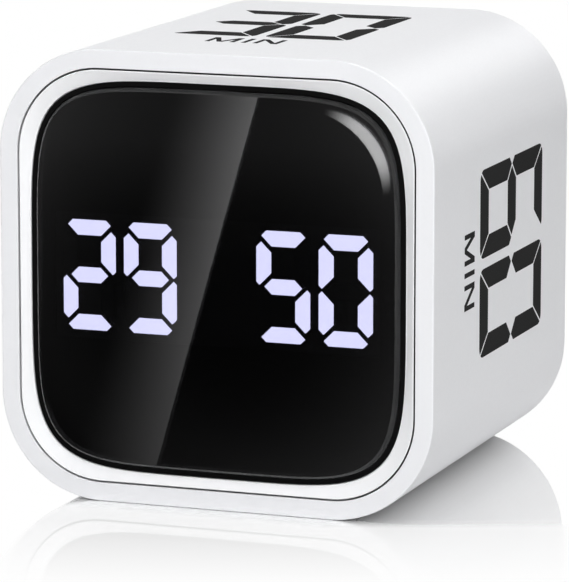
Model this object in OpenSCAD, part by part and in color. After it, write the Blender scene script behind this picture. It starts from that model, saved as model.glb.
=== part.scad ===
// Cube timer: turned onto a numbered face, it counts that many minutes down on its display.
// Millimetres, with X to the right, Y from the display to the back and Z up.
// The origin is the middle of the base that it stands on.

/* [Case] */
// Width and height of the cube
case_side = 60; // [56:0.5:72]
// Depth from the front rim to the rear rim
case_depth = 59.4; // [54:0.2:72]
// Radius of the four long outer edges
corner_r = 14; // [12:0.5:18]
// Wall of the shell at its two rims
wall = 2.5; // [2.2:0.1:3]
// Extra wall between the rims, whose ends are the steps that bezel and cover seat on
step = 0.6; // [0.4:0.1:1]
// Rounding of the outer edge of each rim
rim_round = 0.25; // [0.2:0.05:0.8]
// Gap round the pieces that are let into the shell
seam = 0.2; // [0.1:0.05:0.3]

/* [Bezel] */
// Width of the sloping band between seam and lens, in the middle of a side
band_w = 1.3; // [1:0.05:2.5]
// How far the band slopes back from the rim to the lens
band_fall = 0.7; // [0.4:0.05:1.2]
// Flat land at the outer edge of the band
band_land = 0.12; // [0.08:0.02:0.3]
// Plate behind the lens
plate_t = 1.6; // [1.2:0.1:2.4]
// Wall of the skirt that slides into the shell
skirt_t = 1.6; // [1.2:0.1:2]
// Length of the skirt behind the plate
skirt_len = 6; // [4:0.2:9]
// Width of each snap hook
hook_w = 9; // [6:0.5:14]
// Thickness of each snap hook
hook_t = 1.3; // [1:0.1:1.6]
// Length of each snap hook behind the skirt
hook_len = 7; // [5:0.5:9]
// Depth of the hook's catch in the wall of the shell
hook_catch = 0.5; // [0.3:0.1:0.8]
// Length of the sloping catch
catch_len = 2.2; // [1.5:0.1:3]
// Clearance of the hooks in the shell
hook_fit = 0.2; // [0.1:0.05:0.3]

/* [Lens] */
// Squareness of the lens outline, the exponent of its superellipse
lens_power = 4.93; // [3.5:0.1:7]
// Thickness of the lens at its raised face
lens_t = 1.2; // [1.1:0.1:2.5]
// Depth of the raised face below the front rim
lens_sink = 0; // [0:0.05:0.5]
// Width of the low border round the raised face
border_w = 0.67; // [0.4:0.01:1.2]
// Drop from the raised face to the border
border_drop = 0.8; // [0.5:0.05:0.9]
// Width of the rounded edge of the raised face
edge_w = 0.5; // [0.2:0.05:1]
// Height of the rounded edge of the raised face
edge_h = 0.35; // [0.2:0.05:0.4]
// Clearance of the lens in its pocket
lens_fit = 0.08; // [0.05:0.01:0.2]
// Thickness of the adhesive sheet behind the lens
tape_t = 0.15; // [0.1:0.05:0.5]

/* [Display] */
// Height of a digit
digit_h = 14.7; // [10:0.1:18]
// Width of a digit
digit_w = 7.45; // [6:0.05:8]
// Distance between the two digits of a pair, middle to middle
digit_pitch = 8.55; // [8.2:0.05:10]
// Distance of the middle of a pair from the middle of the display
pair_x = 13.5; // [10:0.1:15]
// Width of a stroke
stroke = 2.1; // [1.5:0.05:2.4]
// Gap between neighbouring strokes
stroke_gap = 0.55; // [0.3:0.05:0.8]
// Chamfer of a stroke's tip at a corner of the digit
tip_cut = 0.68; // [0.3:0.02:0.9]
// Chamfer of a stroke's tip at the waist of the digit
waist_cut = 0.45; // [0.2:0.05:0.6]
// Gap between the upper and the lower strokes at the waist
waist_gap = 0.26; // [0.2:0.02:0.5]
// Margin of the reflector round the digits
reflector_margin = 2; // [1.5:0.1:3]
// Depth of the reflector
reflector_d = 7; // [5:0.2:9]
// Depth of the light diffusers in the wells
diffuser_d = 1.5; // [1:0.1:2.5]
// Clearance of the diffusers and of the reflector's window
potting_fit = 0.05; // [0.02:0.01:0.1]
// Length of a segment lamp
led_len = 1.6; // [1:0.1:2]
// Width of a segment lamp
led_w = 0.8; // [0.5:0.1:1.2]
// Height of a segment lamp
led_h = 0.6; // [0.4:0.1:1]
// Inset of the display board's bosses from the edge of the bezel
boss_inset = 8; // [6:0.5:9]
// Clearance between the display board and the hooks
board_fit = 0.6; // [0.5:0.1:1]

/* [Boards] */
// Thickness of the circuit boards
board_t = 1.2; // [0.8:0.1:1.6]
// Radius of the bosses that carry the boards
boss_r = 2.3; // [2:0.1:2.8]
// Gap between the main board and the cover
board_gap = 6; // [5.6:0.1:8]
// Margin of the main board round its screw holes
board_edge = 4; // [3:0.2:5]
// Clearance between the main board and the posts of the shell
board_clear = 1.5; // [0.8:0.1:2.5]

/* [Screws] */
// Radius of the screws' shanks
screw_r = 0.95; // [0.8:0.05:1.2]
// Radius of the screws' heads
head_r = 1.9; // [1.7:0.1:2.2]
// Height of a screw's head
head_h = 1.2; // [0.8:0.1:1.6]
// Length of thread in a boss or post
grip = 4; // [3:0.5:5]
// Clearance of a screw in its hole
screw_fit = 0.05; // [0.02:0.01:0.1]

/* [Rear cover] */
// Thickness of the cover
cover_t = 2.4; // [2:0.1:3]
// Depth of the cover's face below the rear rim
cover_sink = 0.6; // [0.5:0.1:1]
// Radius of the shell's screw posts
post_r = 3.2; // [2.8:0.1:3.6]
// Length of the shell's screw posts
post_len = 11; // [8:0.5:14]
// How far a post is sunk into the corner of the shell
post_bite = 1; // [0.6:0.1:1.4]
// Height of the row of controls above the lower board screws
control_rise = 7.4; // [7.2:0.1:9]
// Distance of the sound holes above the middle
sound_y = 9; // [8:0.5:10]
// Radius of a sound hole
sound_r = 0.6; // [0.4:0.05:0.8]
// Distance between sound holes
sound_pitch = 2.2; // [1.8:0.1:2.6]

/* [Charging socket] */
// Width of the socket's metal shell
usb_w = 8.94; // [8:0.1:9.4]
// Height of the socket's metal shell
usb_h = 3.26; // [3:0.02:3.6]
// Thickness of the metal
usb_wall = 0.3; // [0.2:0.05:0.4]
// Clearance of the socket in the cover
usb_fit = 0.15; // [0.1:0.05:0.3]
// Depth of the socket's mouth below the cover's face
usb_sink = 0.2; // [0.1:0.05:0.4]
// Height of the insulating base in the socket
usb_base = 2.2; // [1.5:0.1:3]
// Width of the socket's tongue
tongue_w = 6.7; // [6:0.1:7]
// Thickness of the socket's tongue
tongue_t = 0.7; // [0.6:0.05:0.9]
// Depth of the tongue's end below the mouth
tongue_sink = 0.7; // [0.4:0.1:1.2]

/* [Slide switch] */
// Travel of the knob to either side
slide_travel = 1.5; // [1:0.1:2]
// Length of the knob
knob_len = 4.5; // [3.5:0.1:6]
// Height of the knob
knob_h = 3; // [2.4:0.1:3.6]
// How far knob and button stand out of the cover
control_proud = 0.35; // [0.2:0.05:0.5]
// Thickness of the flanges that hold knob and button in
flange_t = 0.9; // [0.6:0.1:1.2]
// Lap of the flanges behind the cover
flange_lap = 0.9; // [0.6:0.1:1.2]
// Running clearance of knob and button
run_fit = 0.15; // [0.1:0.05:0.25]
// Gap between knob, socket and button
control_gap = 1.3; // [1:0.1:3]
// Ribs on the knob
rib_count = 4; // [3:1:5]
// Width of the groove between two ribs
rib_groove = 0.4; // [0.3:0.05:0.5]
// Depth of the groove between two ribs
rib_depth = 0.25; // [0.15:0.05:0.3]
// Length of the switch's body
switch_len = 9; // [8:0.2:10]
// Width of the switch's body
switch_w = 3.8; // [3.4:0.1:4.4]
// Gap between the switch's body and the knob's flange
switch_gap = 1.4; // [1:0.1:2]
// Width of the square lever
lever_w = 1.5; // [1.2:0.1:2]
// Depth of the lever in the switch
lever_sink = 1.4; // [1:0.1:2]
// Depth of the lever in the knob
lever_in = 1; // [0.6:0.1:1.4]

/* [Button] */
// Radius of the button
button_r = 3.4; // [2.6:0.1:3.6]
// Rounding of the button's outer edge
button_round = 0.3; // [0.1:0.05:0.3]
// Travel of the button
press_travel = 0.35; // [0.2:0.05:0.5]
// Radius of the stem below the button
stem_r = 1.8; // [1.4:0.1:2.2]
// Length of the stem below the button
stem_len = 0.7; // [0.5:0.1:0.9]
// Side of the square switch under the button
tact_side = 6; // [5:0.2:6.4]
// Radius of the switch's plunger
plunger_r = 1.6; // [1.2:0.1:2]
// Rise of the plunger over the switch
plunger_rise = 0.9; // [0.7:0.1:1.2]
// Depth of the plunger in the switch
plunger_sink = 1.2; // [0.8:0.1:1.5]

/* [Sounder and motor] */
// Radius of the buzzer
buzzer_r = 6; // [4.6:0.1:6.5]
// Thickness of the foam ring on the buzzer
seal_t = 0.5; // [0.3:0.1:1]
// Width of the foam ring on the buzzer
seal_w = 1.8; // [1:0.1:2.4]
// Radius of the coin motor
motor_r = 5; // [4:0.1:5.5]
// Thickness of the coin motor
motor_t = 2.7; // [2:0.1:3.4]

/* [Battery] */
// Width of the cell
cell_w = 30; // [24:1:32]
// Length of the cell
cell_len = 25; // [20:1:28]
// Thickness of the cell
cell_t = 6; // [4:0.2:7]
// Thickness of the adhesive pad under the cell
pad_t = 0.4; // [0.2:0.1:0.8]
// Radius of a lead
lead_r = 0.6; // [0.4:0.05:0.7]
// Distance between the two leads
lead_pitch = 2; // [1.6:0.1:2.6]

/* [Cable] */
// Width of the flat cable
ribbon_w = 9; // [6:0.5:12]
// Thickness of the flat cable
ribbon_t = 0.3; // [0.2:0.05:0.4]
// Rise of the flat cable's slack bow
ribbon_bow = 4; // [2:0.5:6]
// Distance of the flat cable above the middle
ribbon_y = 12; // [10:0.5:14]
// Height of the cable's sockets on their boards
ribbon_socket_h = 2; // [1.5:0.1:3]

/* [Hidden] */
$fn = 64;

// Overrun of a cutting shape past the face that it cuts
cut = 1;
// Points round the lens outline, and steps of its rounded edge
outline_points = 96;
edge_steps = 6;

// Outlines across the case
case_half = case_side / 2;
mouth_half = case_half - wall;
cavity_half = mouth_half - step;
corner_at = case_half - corner_r;
inlay_half = mouth_half - seam;
inlay_r = corner_r - wall - seam;
lens_half = inlay_half - band_w - lens_fit;
pocket_half = lens_half + lens_fit;

// Depths behind the front rim
border_front = lens_sink + border_drop;
lens_back = lens_sink + lens_t;
plate_front = lens_back + tape_t;
plate_back = plate_front + plate_t;
skirt_end = plate_back + skirt_len;
hook_end = skirt_end + hook_len;
display_board_front = plate_front + reflector_d;
display_board_back = display_board_front + board_t;

// Depths in front of the rear rim
cover_inner = cover_sink + cover_t;
board_rear = cover_inner + board_gap;
board_front = board_rear + board_t;
main_front = case_depth - board_front;

// Display
reflector_w = 2 * (pair_x + digit_pitch / 2 + digit_w / 2 + reflector_margin);
reflector_h = digit_h + 2 * reflector_margin;
window_lap = reflector_margin / 2;
reflector_corner = 1;
display_board_half = cavity_half - hook_fit - hook_t - board_fit;
display_board_r = corner_r - (case_half - display_board_half);
display_boss = inlay_half - boss_inset;
// Which of the strokes a to g are lit in each digit
lit = [
    [true, true, false, true, true, false, true],
    [true, true, true, true, false, true, true],
    [true, false, true, true, false, true, true],
    [true, true, true, true, true, true, false]
];
digit_x = [
    -pair_x - digit_pitch / 2,
    -pair_x + digit_pitch / 2,
    pair_x - digit_pitch / 2,
    pair_x + digit_pitch / 2
];

// Rear corner posts and main board
post_at = corner_at + (corner_r - wall - step - post_r + post_bite) / sqrt(2);
main_boss = post_at - (post_r + board_clear + board_edge) / sqrt(2);
main_half = main_boss + board_edge;

// Row of controls, seen from behind
control_y = control_rise - main_boss;
slot_half = knob_len / 2 + slide_travel + run_fit;
knob_flange_half = slot_half + slide_travel + flange_lap;
knob_flange_h = knob_h + 2 * flange_lap;
switch_x = usb_w / 2 + control_gap + knob_flange_half + slide_travel;
button_flange_r = button_r + flange_lap;
button_x = -usb_w / 2 - 2 * control_gap - button_flange_r;
usb_len = board_gap + cover_t - usb_sink;

// Heights above the main board's rear face
flange_top = board_gap - run_fit;
flange_low = flange_top - flange_t;
control_top = board_gap + cover_t + control_proud;
switch_top = flange_low - switch_gap;
plunger_top = flange_low - stem_len;
tact_top = plunger_top - plunger_rise;
buzzer_h = board_gap - seal_t;

// Places on the front of the main board, seen from the front
controller_at = [9, -3];
motor_at = [-10, 2];
sensor_at = [0, -8];
charger_at = [9, 4 - main_boss];
crystal_at = [3, 3];
battery_plug_x = -7;

// Width, height and thickness of the chips, and how many legs each has on a side
controller_size = [7, 7, 1.4];
controller_legs = 8;
sensor_size = [3, 3, 1];
sensor_legs = 4;
charger_size = [3.9, 4.9, 1.5];
charger_legs = 4;
driver_size = [7.5, 4, 1.5];
driver_legs = 10;
driver_at = [10, -12];
leg_out = 0.6;
leg_w = 0.3;
leg_lift = 0.1;
crystal_r = 1;
crystal_len = 6;

// Battery on the floor of the shell
cell_front = (hook_end + main_front - cell_len) / 2;
cell_floor = -cavity_half + pad_t;
cell_round = cell_t / 4;
pad_inset = 2.5;
plug_len = 5;
plug_h = 2.8;
plug_margin = 1.2;
plug_w = lead_pitch + 2 * plug_margin;
socket_lip = 0.3;
socket_h = 2.2;
plug_rise = 3;
battery_plug_y = plug_rise + plug_h / 2 - main_half;
// How far the leads bow out in front of the cell
lead_bow = 10;
lead_steps = 14;
lead_sides = 8;

// Flat cable
ribbon_steps = 24;
ribbon_socket_margin = 1.5;
ribbon_socket_wall = 1.1;
ribbon_fit = 0.1;
ribbon_straight = 1;

// Sound outlet of the buzzer, and cross recess of the screws
buzzer_hole_r = 1;
buzzer_hole_d = 1;
recess_len = 2.3;
recess_w = 0.55;
recess_d = 0.6;
knob_corner = 0.8;

// Sketch plane on the front rim: x to the right, y up, z out of the display
module from_front() translate([0, -case_depth / 2, case_half]) rotate([90, 0, 0]) children();

// Sketch plane on the rear rim, as seen from behind
module from_rear() translate([0, case_depth / 2, case_half]) rotate([90, 0, 180]) children();

// Extrudes a sketch from a depth behind the front rim
module slab(depth, t) from_front() translate([0, 0, -depth - t]) linear_extrude(t) children();

// Extrudes a sketch from a height above the main board's rear face
module on_board(h, t) from_rear() translate([0, 0, h - board_rear]) linear_extrude(t) children();

// Rectangle with rounded corners, about the middle
module rounded(w, h, r) {
    square([w - 2 * r, h], center = true);
    square([w, h - 2 * r], center = true);
    for (x = [-1, 1], y = [-1, 1]) translate([x * (w / 2 - r), y * (h / 2 - r)]) circle(r);
}

// Copies a shape to the four corners of a square
module corners(at) for (x = [-1, 1], y = [-1, 1]) translate([x * at, y * at]) children();

// Power that keeps the sign
function spow(v, p) = sign(v) * pow(abs(v), p);

// Superellipse of half width a
function squircle(a) = [
    for (i = [0 : outline_points - 1])
        let (t = 360 * i / outline_points)
        [a * spow(cos(t), 2 / lens_power), a * spow(sin(t), 2 / lens_power)]
];

// Distance from the middle to a rounded square's edge, along the direction of p
function square_reach(p, half, r) =
    let (d = p / norm(p), u = [max(abs(d.x), abs(d.y)), min(abs(d.x), abs(d.y))], c = half - r)
    half * u.y / u.x <= c
        ? half / u.x
        : let (b = (u.x + u.y) * c) b + sqrt(b * b - 2 * c * c + r * r);

// Rounded square with one point in the direction of each point of the lens outline
function square_ring(half, r) = [for (p = squircle(1)) p / norm(p) * square_reach(p, half, r)];

// Sketch points at one height
function at_height(points, z) = [for (p = points) [p.x, p.y, z]];

// Solid through rings of equal length, from the lowest up
module loft(rings) {
    n = len(rings[0]);
    top = n * (len(rings) - 1);
    polyhedron(
        points = [for (ring = rings) each ring],
        faces = concat(
            [[for (i = [0 : n - 1]) i]],
            [[for (i = [n - 1 : -1 : 0]) top + i]],
            [for (k = [0 : len(rings) - 2], i = [0 : n - 1])
                each [
                    [k * n + i, (k + 1) * n + i, (k + 1) * n + (i + 1) % n],
                    [k * n + i, (k + 1) * n + (i + 1) % n, k * n + (i + 1) % n]
                ]
            ]
        ),
        convexity = 4
    );
}

// Pan-head screw with its head's seat at z = 0 and its shank upwards
module screw(len) {
    cylinder(r = screw_r, h = len);
    translate([0, 0, -head_h]) difference() {
        cylinder(r = head_r, h = head_h);
        translate([0, 0, -cut]) linear_extrude(cut + recess_d) cross_recess();
    }
}

// Cross recess of a screw's head
module cross_recess() for (a = [45, 135]) rotate(a) square([recess_len, recess_w], center = true);

// Chip with a row of legs along two sides, which stand on z = 0
module chip(size, legs) {
    translate([-size.x / 2, -size.y / 2, leg_lift]) cube([size.x, size.y, size.z - leg_lift]);
    for (i = [0 : legs - 1])
        translate([-size.x / 2 - leg_out, (i + 0.5) * size.y / legs - size.y / 2 - leg_w / 2, 0])
            cube([size.x + 2 * leg_out, leg_w, size.z / 2]);
}

// Wall section of the shell: x out from the axis of a corner, y the depth behind the front rim
module wall_section() {
    full = wall + step;
    inner = corner_r - full;
    difference() {
        union() {
            translate([inner, 0]) square([full - rim_round, case_depth]);
            translate([inner, rim_round]) square([full, case_depth - 2 * rim_round]);
            for (y = [rim_round, case_depth - rim_round])
                translate([corner_r - rim_round, y]) circle(rim_round);
        }
        translate([inner - cut, -cut]) square([step + cut, skirt_end + cut]);
        translate([inner - cut, case_depth - cover_inner]) square([step + cut, cover_inner + cut]);
    }
}

// Pocket in the wall for the catch of one hook, on the +X side
module hook_pocket() {
    pocket_w = hook_w + 2 * hook_fit;
    translate([cavity_half - cut, -pocket_w / 2, -hook_end - hook_fit])
        cube([cut + hook_catch + hook_fit, pocket_w, catch_len + 2 * hook_fit]);
}

module outer_shell() color("white") {
    difference() {
        union() {
            translate([0, -case_depth / 2, case_half]) rotate([-90, 0, 0]) for (a = [0 : 90 : 270]) rotate(a) {
                translate([corner_at, corner_at]) rotate_extrude(angle = 90) wall_section();
                translate([corner_at, corner_at]) rotate([90, 0, 0]) linear_extrude(2 * corner_at) wall_section();
            }
            from_rear() translate([0, 0, -cover_inner - post_len]) linear_extrude(post_len)
                corners(post_at) circle(post_r);
        }
        from_rear() translate([0, 0, -cover_inner - grip - cut]) linear_extrude(grip + 2 * cut)
            corners(post_at) circle(screw_r + screw_fit);
        from_front() for (a = [0 : 90 : 270]) rotate(a) hook_pocket();
    }
}

// One snap hook, on the +X side
module hook() {
    outer = cavity_half - hook_fit;
    translate([outer - hook_t, -hook_w / 2, -hook_end]) cube([hook_t, hook_w, hook_end - plate_back]);
    rotate([90, 0, 0]) linear_extrude(hook_w, center = true) polygon([
        [outer - hook_t / 2, -hook_end + catch_len],
        [outer + hook_fit + hook_catch, -hook_end + catch_len],
        [outer, -hook_end],
        [outer - hook_t / 2, -hook_end]
    ]);
}

module front_bezel() color("white") {
    land_half = inlay_half - band_land;
    land_r = inlay_r - band_land;
    difference() {
        slab(0, skirt_end) rounded(2 * inlay_half, 2 * inlay_half, inlay_r);
        from_front() loft([
            at_height(squircle(pocket_half), -plate_front),
            at_height(squircle(pocket_half), -band_fall),
            at_height(square_ring(land_half, land_r), 0),
            at_height(square_ring(land_half, land_r), cut)
        ]);
        slab(plate_front - cut, plate_t + 2 * cut)
            square([reflector_w + 2 * potting_fit, reflector_h + 2 * potting_fit], center = true);
        slab(plate_back, skirt_len + cut)
            rounded(2 * (inlay_half - skirt_t), 2 * (inlay_half - skirt_t), inlay_r - skirt_t);
    }
    slab(plate_back, display_board_front - plate_back) difference() {
        corners(display_boss) circle(boss_r);
        corners(display_boss) circle(screw_r + screw_fit);
    }
    from_front() for (a = [0 : 90 : 270]) rotate(a) hook();
}

module front_lens() color([0.05, 0.05, 0.06]) from_front() loft(concat(
    [
        at_height(squircle(lens_half), -lens_back),
        at_height(squircle(lens_half), -border_front),
        at_height(squircle(lens_half - border_w), -border_front)
    ],
    [for (k = [0 : edge_steps])
        let (a = 90 * k / edge_steps)
        at_height(
            squircle(lens_half - border_w - edge_w * (1 - cos(a))),
            -lens_sink - edge_h * (1 - sin(a))
        )]
));

module lens_tape() color([0.02, 0.02, 0.02]) slab(lens_back, tape_t) difference() {
    polygon(squircle(lens_half - border_w));
    square([reflector_w - 2 * window_lap, reflector_h - 2 * window_lap], center = true);
}

// Half a digit's width and height, and the gap between two mitred strokes along an axis
digit_half_w = digit_w / 2;
digit_half_h = digit_h / 2;
mitre_gap = stroke_gap * sqrt(2);
// Shift of a mitred corner along an edge when both its edges move out by 1
corner_shift = sqrt(2) - 1;

// Lying stroke across the top of a digit, with its edges moved out by g
module top_stroke(g) {
    outer = [digit_half_w - 2 * tip_cut + corner_shift * g, digit_half_h + g];
    tip = [digit_half_w - tip_cut + sqrt(2) * g, digit_half_h - tip_cut];
    inner = [digit_half_w - stroke + corner_shift * g, digit_half_h - stroke - g];
    polygon([outer, tip, inner, [-inner.x, inner.y], [-tip.x, tip.y], [-outer.x, outer.y]]);
}

// Upright stroke at the top right of a digit, with its edges moved out by g
module side_stroke(g) {
    left = digit_half_w - stroke - g;
    right = digit_half_w + g;
    high = digit_half_h - stroke - mitre_gap;
    low = waist_gap / 2;
    polygon([
        [left, high + corner_shift * g],
        [digit_half_w - tip_cut, high + stroke - tip_cut + sqrt(2) * g],
        [right, high + stroke - 2 * tip_cut + corner_shift * g],
        [right, low + waist_cut - corner_shift * g],
        [digit_half_w - waist_cut, low - sqrt(2) * g],
        [left, low + stroke - waist_cut - corner_shift * g]
    ]);
}

// Lying stroke across the waist of a digit, with its edges moved out by g
module waist_stroke(g) {
    tip = digit_half_w - waist_cut - mitre_gap + waist_gap / 2 + sqrt(2) * g;
    t = stroke / 2 + g;
    polygon([[tip, 0], [tip - t, t], [t - tip, t], [-tip, 0], [t - tip, -t], [tip - t, -t]]);
}

// One of the strokes a to g, counted from 0
module digit_stroke(i, g) {
    if (i == 0) top_stroke(g);
    if (i == 1) side_stroke(g);
    if (i == 2) mirror([0, 1]) side_stroke(g);
    if (i == 3) mirror([0, 1]) top_stroke(g);
    if (i == 4) rotate(180) side_stroke(g);
    if (i == 5) mirror([1, 0]) side_stroke(g);
    if (i == 6) waist_stroke(g);
}

// Strokes of all four digits whose state is in the list
module strokes(states, g) for (d = [0 : 3], i = [0 : 6])
    if (search([lit[d][i]], states) != [[]]) translate([digit_x[d], 0]) digit_stroke(i, g);

module display_reflector() color([0.05, 0.05, 0.05]) slab(plate_front, reflector_d) difference() {
    square([reflector_w, reflector_h], center = true);
    strokes([true, false], 0);
}

module lit_segments() color([0.87, 0.87, 1]) slab(plate_front, diffuser_d) strokes([true], -potting_fit);

module unlit_segments() color([0.1, 0.1, 0.11]) slab(plate_front, diffuser_d) strokes([false], -potting_fit);

// Place and turn of the lamp behind each stroke
lamp_x = (digit_w - stroke) / 2;
lamp_y = (digit_h - stroke) / 2;
lamps = [
    [0, lamp_y, 0], [lamp_x, lamp_y / 2, 90], [lamp_x, -lamp_y / 2, 90], [0, -lamp_y, 0],
    [-lamp_x, -lamp_y / 2, 90], [-lamp_x, lamp_y / 2, 90], [0, 0, 0]
];

module segment_leds() color("lemonchiffon") slab(display_board_front - led_h, led_h)
    for (x = digit_x, lamp = lamps)
        translate([x + lamp.x, lamp.y]) rotate(lamp.z) square([led_len, led_w], center = true);

module display_board() color("darkgreen") slab(display_board_front, board_t) difference() {
    rounded(2 * display_board_half, 2 * display_board_half, display_board_r);
    corners(display_boss) circle(screw_r + 2 * screw_fit);
}

module display_screws() color("silver") from_front() corners(display_boss)
    translate([0, 0, -display_board_back]) screw(board_t + grip);

module display_driver() color([0.1, 0.1, 0.1])
    from_front() translate([driver_at.x, driver_at.y, -display_board_back]) rotate([180, 0, 0])
        chip(driver_size, driver_legs);

// Socket of the flat cable, open towards the cable
module ribbon_socket() difference() {
    square([ribbon_w + 2 * ribbon_socket_margin, ribbon_t + 2 * ribbon_socket_wall], center = true);
    square([ribbon_w + 2 * ribbon_fit, ribbon_t + 2 * ribbon_fit], center = true);
}

module display_ribbon_socket() color("ivory") slab(display_board_back, ribbon_socket_h)
    translate([0, ribbon_y]) ribbon_socket();

module main_ribbon_socket() color("ivory") slab(main_front - ribbon_socket_h, ribbon_socket_h)
    translate([0, ribbon_y]) ribbon_socket();

// Height of the flat cable's bow at a share of its way
function bow(share) = ribbon_bow * (1 - cos(360 * share)) / 2;

module display_ribbon() color("whitesmoke") {
    run = main_front - display_board_back;
    lead_in = ribbon_socket_h + ribbon_straight;
    bowed = [for (k = [0 : ribbon_steps])
        [lead_in + (run - 2 * lead_in) * k / ribbon_steps, bow(k / ribbon_steps)]];
    line = concat([[0, 0]], bowed, [[run, 0]]);
    translate([0, display_board_back - case_depth / 2, case_half + ribbon_y]) rotate([90, 0, 90])
        linear_extrude(ribbon_w, center = true) polygon(concat(
            [for (p = line) [p.x, p.y - ribbon_t / 2]],
            [for (i = [len(line) - 1 : -1 : 0]) [line[i].x, line[i].y + ribbon_t / 2]]
        ));
}

// Hole for a flat-head screw whose face lies in z = 0, grown by fit
module flat_head(fit) translate([0, 0, -head_h]) cylinder(r1 = screw_r + fit, r2 = head_r + fit, h = head_h);

module rear_cover() color("white") difference() {
    union() {
        from_rear() translate([0, 0, -cover_inner]) linear_extrude(cover_t)
            rounded(2 * inlay_half, 2 * inlay_half, inlay_r);
        on_board(0, board_gap) corners(main_boss) circle(boss_r);
    }
    on_board(-cut, grip + cut) corners(main_boss) circle(screw_r + screw_fit);
    from_rear() translate([0, 0, -cover_sink]) corners(post_at) {
        flat_head(screw_fit);
        translate([0, 0, -cover_t - cut]) cylinder(r = screw_r + 2 * screw_fit, h = cover_t + cut);
    }
    on_board(board_gap - cut, cover_t + 2 * cut) {
        translate([switch_x, control_y])
            rounded(2 * slot_half, knob_h + 2 * run_fit, knob_corner + run_fit);
        translate([0, control_y]) usb_outline(-usb_fit);
        translate([button_x, control_y]) circle(button_r + run_fit);
        translate([0, sound_y]) {
            circle(sound_r);
            for (a = [0 : 60 : 300]) rotate(a) translate([sound_pitch, 0]) circle(sound_r);
        }
    }
}

module rear_screws() color("silver") from_rear() translate([0, 0, -cover_sink]) corners(post_at) difference() {
    union() {
        flat_head(0);
        translate([0, 0, -cover_t - grip]) cylinder(r = screw_r, h = cover_t + grip - head_h);
    }
    translate([0, 0, -recess_d]) linear_extrude(recess_d + cut) cross_recess();
}

module main_board() color("darkgreen") on_board(-board_t, board_t) difference() {
    rounded(2 * main_half, 2 * main_half, board_edge);
    corners(main_boss) circle(screw_r + 2 * screw_fit);
}

module main_board_screws() color("silver") from_rear() corners(main_boss)
    translate([0, 0, -board_front]) screw(board_t + grip - screw_fit);

// Puts a piece on the front face of the main board
module on_main_front(at) from_front() translate([at.x, at.y, -main_front]) children();

module controller_chip() color([0.1, 0.1, 0.1]) on_main_front(controller_at) chip(controller_size, controller_legs);

module gravity_sensor() color([0.15, 0.15, 0.15]) on_main_front(sensor_at) chip(sensor_size, sensor_legs);

module charger_chip() color([0.1, 0.1, 0.1]) on_main_front(charger_at) chip(charger_size, charger_legs);

module clock_crystal() color("silver") on_main_front(crystal_at)
    translate([0, 0, crystal_r]) rotate([-90, 0, 0]) cylinder(r = crystal_r, h = crystal_len);

// Outline of the charging socket, drawn in by d
module usb_outline(d) {
    h = usb_h / 2 - d;
    square([usb_w - usb_h, 2 * h], center = true);
    for (x = [-1, 1]) translate([x * (usb_w - usb_h) / 2, 0]) circle(h);
}

module usb_shell() color("silver") on_board(0, usb_len) translate([0, control_y]) difference() {
    usb_outline(0);
    usb_outline(usb_wall);
}

module usb_tongue() color([0.1, 0.1, 0.1]) {
    on_board(0, usb_base) translate([0, control_y]) usb_outline(usb_wall + screw_fit);
    on_board(usb_base, usb_len - usb_base - tongue_sink) translate([0, control_y])
        square([tongue_w, tongue_t], center = true);
}

module slide_switch_body() color("silver") difference() {
    on_board(0, switch_top) translate([switch_x, control_y]) square([switch_len, switch_w], center = true);
    on_board(switch_top - lever_sink - run_fit, lever_sink + run_fit + cut) translate([switch_x, control_y])
        square([lever_w + 2 * (slide_travel + run_fit), lever_w + 2 * run_fit], center = true);
}

module slide_switch_lever() color([0.1, 0.1, 0.1])
    on_board(switch_top - lever_sink, lever_sink + switch_gap + lever_in) translate([switch_x, control_y])
        square(lever_w, center = true);

module mode_knob() color([0.15, 0.15, 0.15]) difference() {
    union() {
        on_board(flange_low, flange_t) translate([switch_x, control_y])
            square([2 * knob_flange_half, knob_flange_h], center = true);
        on_board(flange_low, control_top - flange_low) translate([switch_x, control_y])
            rounded(knob_len, knob_h, knob_corner);
    }
    on_board(flange_low - cut, cut + lever_in + screw_fit) translate([switch_x, control_y])
        square(lever_w + 2 * screw_fit, center = true);
    on_board(control_top - rib_depth, rib_depth + cut) translate([switch_x, control_y])
        for (i = [1 : rib_count]) translate([knob_len * (i / (rib_count + 1) - 0.5), 0])
            square([rib_groove, knob_h + cut], center = true);
}

module tact_switch_body() color("dimgray") difference() {
    on_board(0, tact_top) translate([button_x, control_y]) square(tact_side, center = true);
    on_board(tact_top - plunger_sink - press_travel - run_fit, plunger_sink + press_travel + run_fit + cut)
        translate([button_x, control_y]) circle(plunger_r + run_fit);
}

module tact_switch_plunger() color([0.1, 0.1, 0.1])
    on_board(tact_top - plunger_sink, plunger_sink + plunger_rise) translate([button_x, control_y])
        circle(plunger_r);

module set_button() color([0.15, 0.15, 0.15]) from_rear() translate([button_x, control_y, plunger_top - board_rear])
    rotate_extrude() {
        high = control_top - plunger_top;
        square([stem_r, stem_len + flange_t]);
        translate([0, stem_len]) square([button_flange_r, flange_t]);
        translate([0, stem_len]) square([button_r - button_round, high - stem_len]);
        translate([0, stem_len]) square([button_r, high - stem_len - button_round]);
        translate([button_r - button_round, high - button_round]) intersection() {
            circle(button_round);
            square(button_round);
        }
    }

module buzzer() color([0.1, 0.1, 0.1]) difference() {
    on_board(0, buzzer_h) translate([0, sound_y]) circle(buzzer_r);
    on_board(buzzer_h - buzzer_hole_d, buzzer_hole_d + cut) translate([0, sound_y]) circle(buzzer_hole_r);
}

module buzzer_seal() color("dimgray") on_board(buzzer_h, seal_t) translate([0, sound_y]) difference() {
    circle(buzzer_r);
    circle(buzzer_r - seal_w);
}

module vibration_motor() color("silver") on_main_front(motor_at) cylinder(r = motor_r, h = motor_t);

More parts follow.
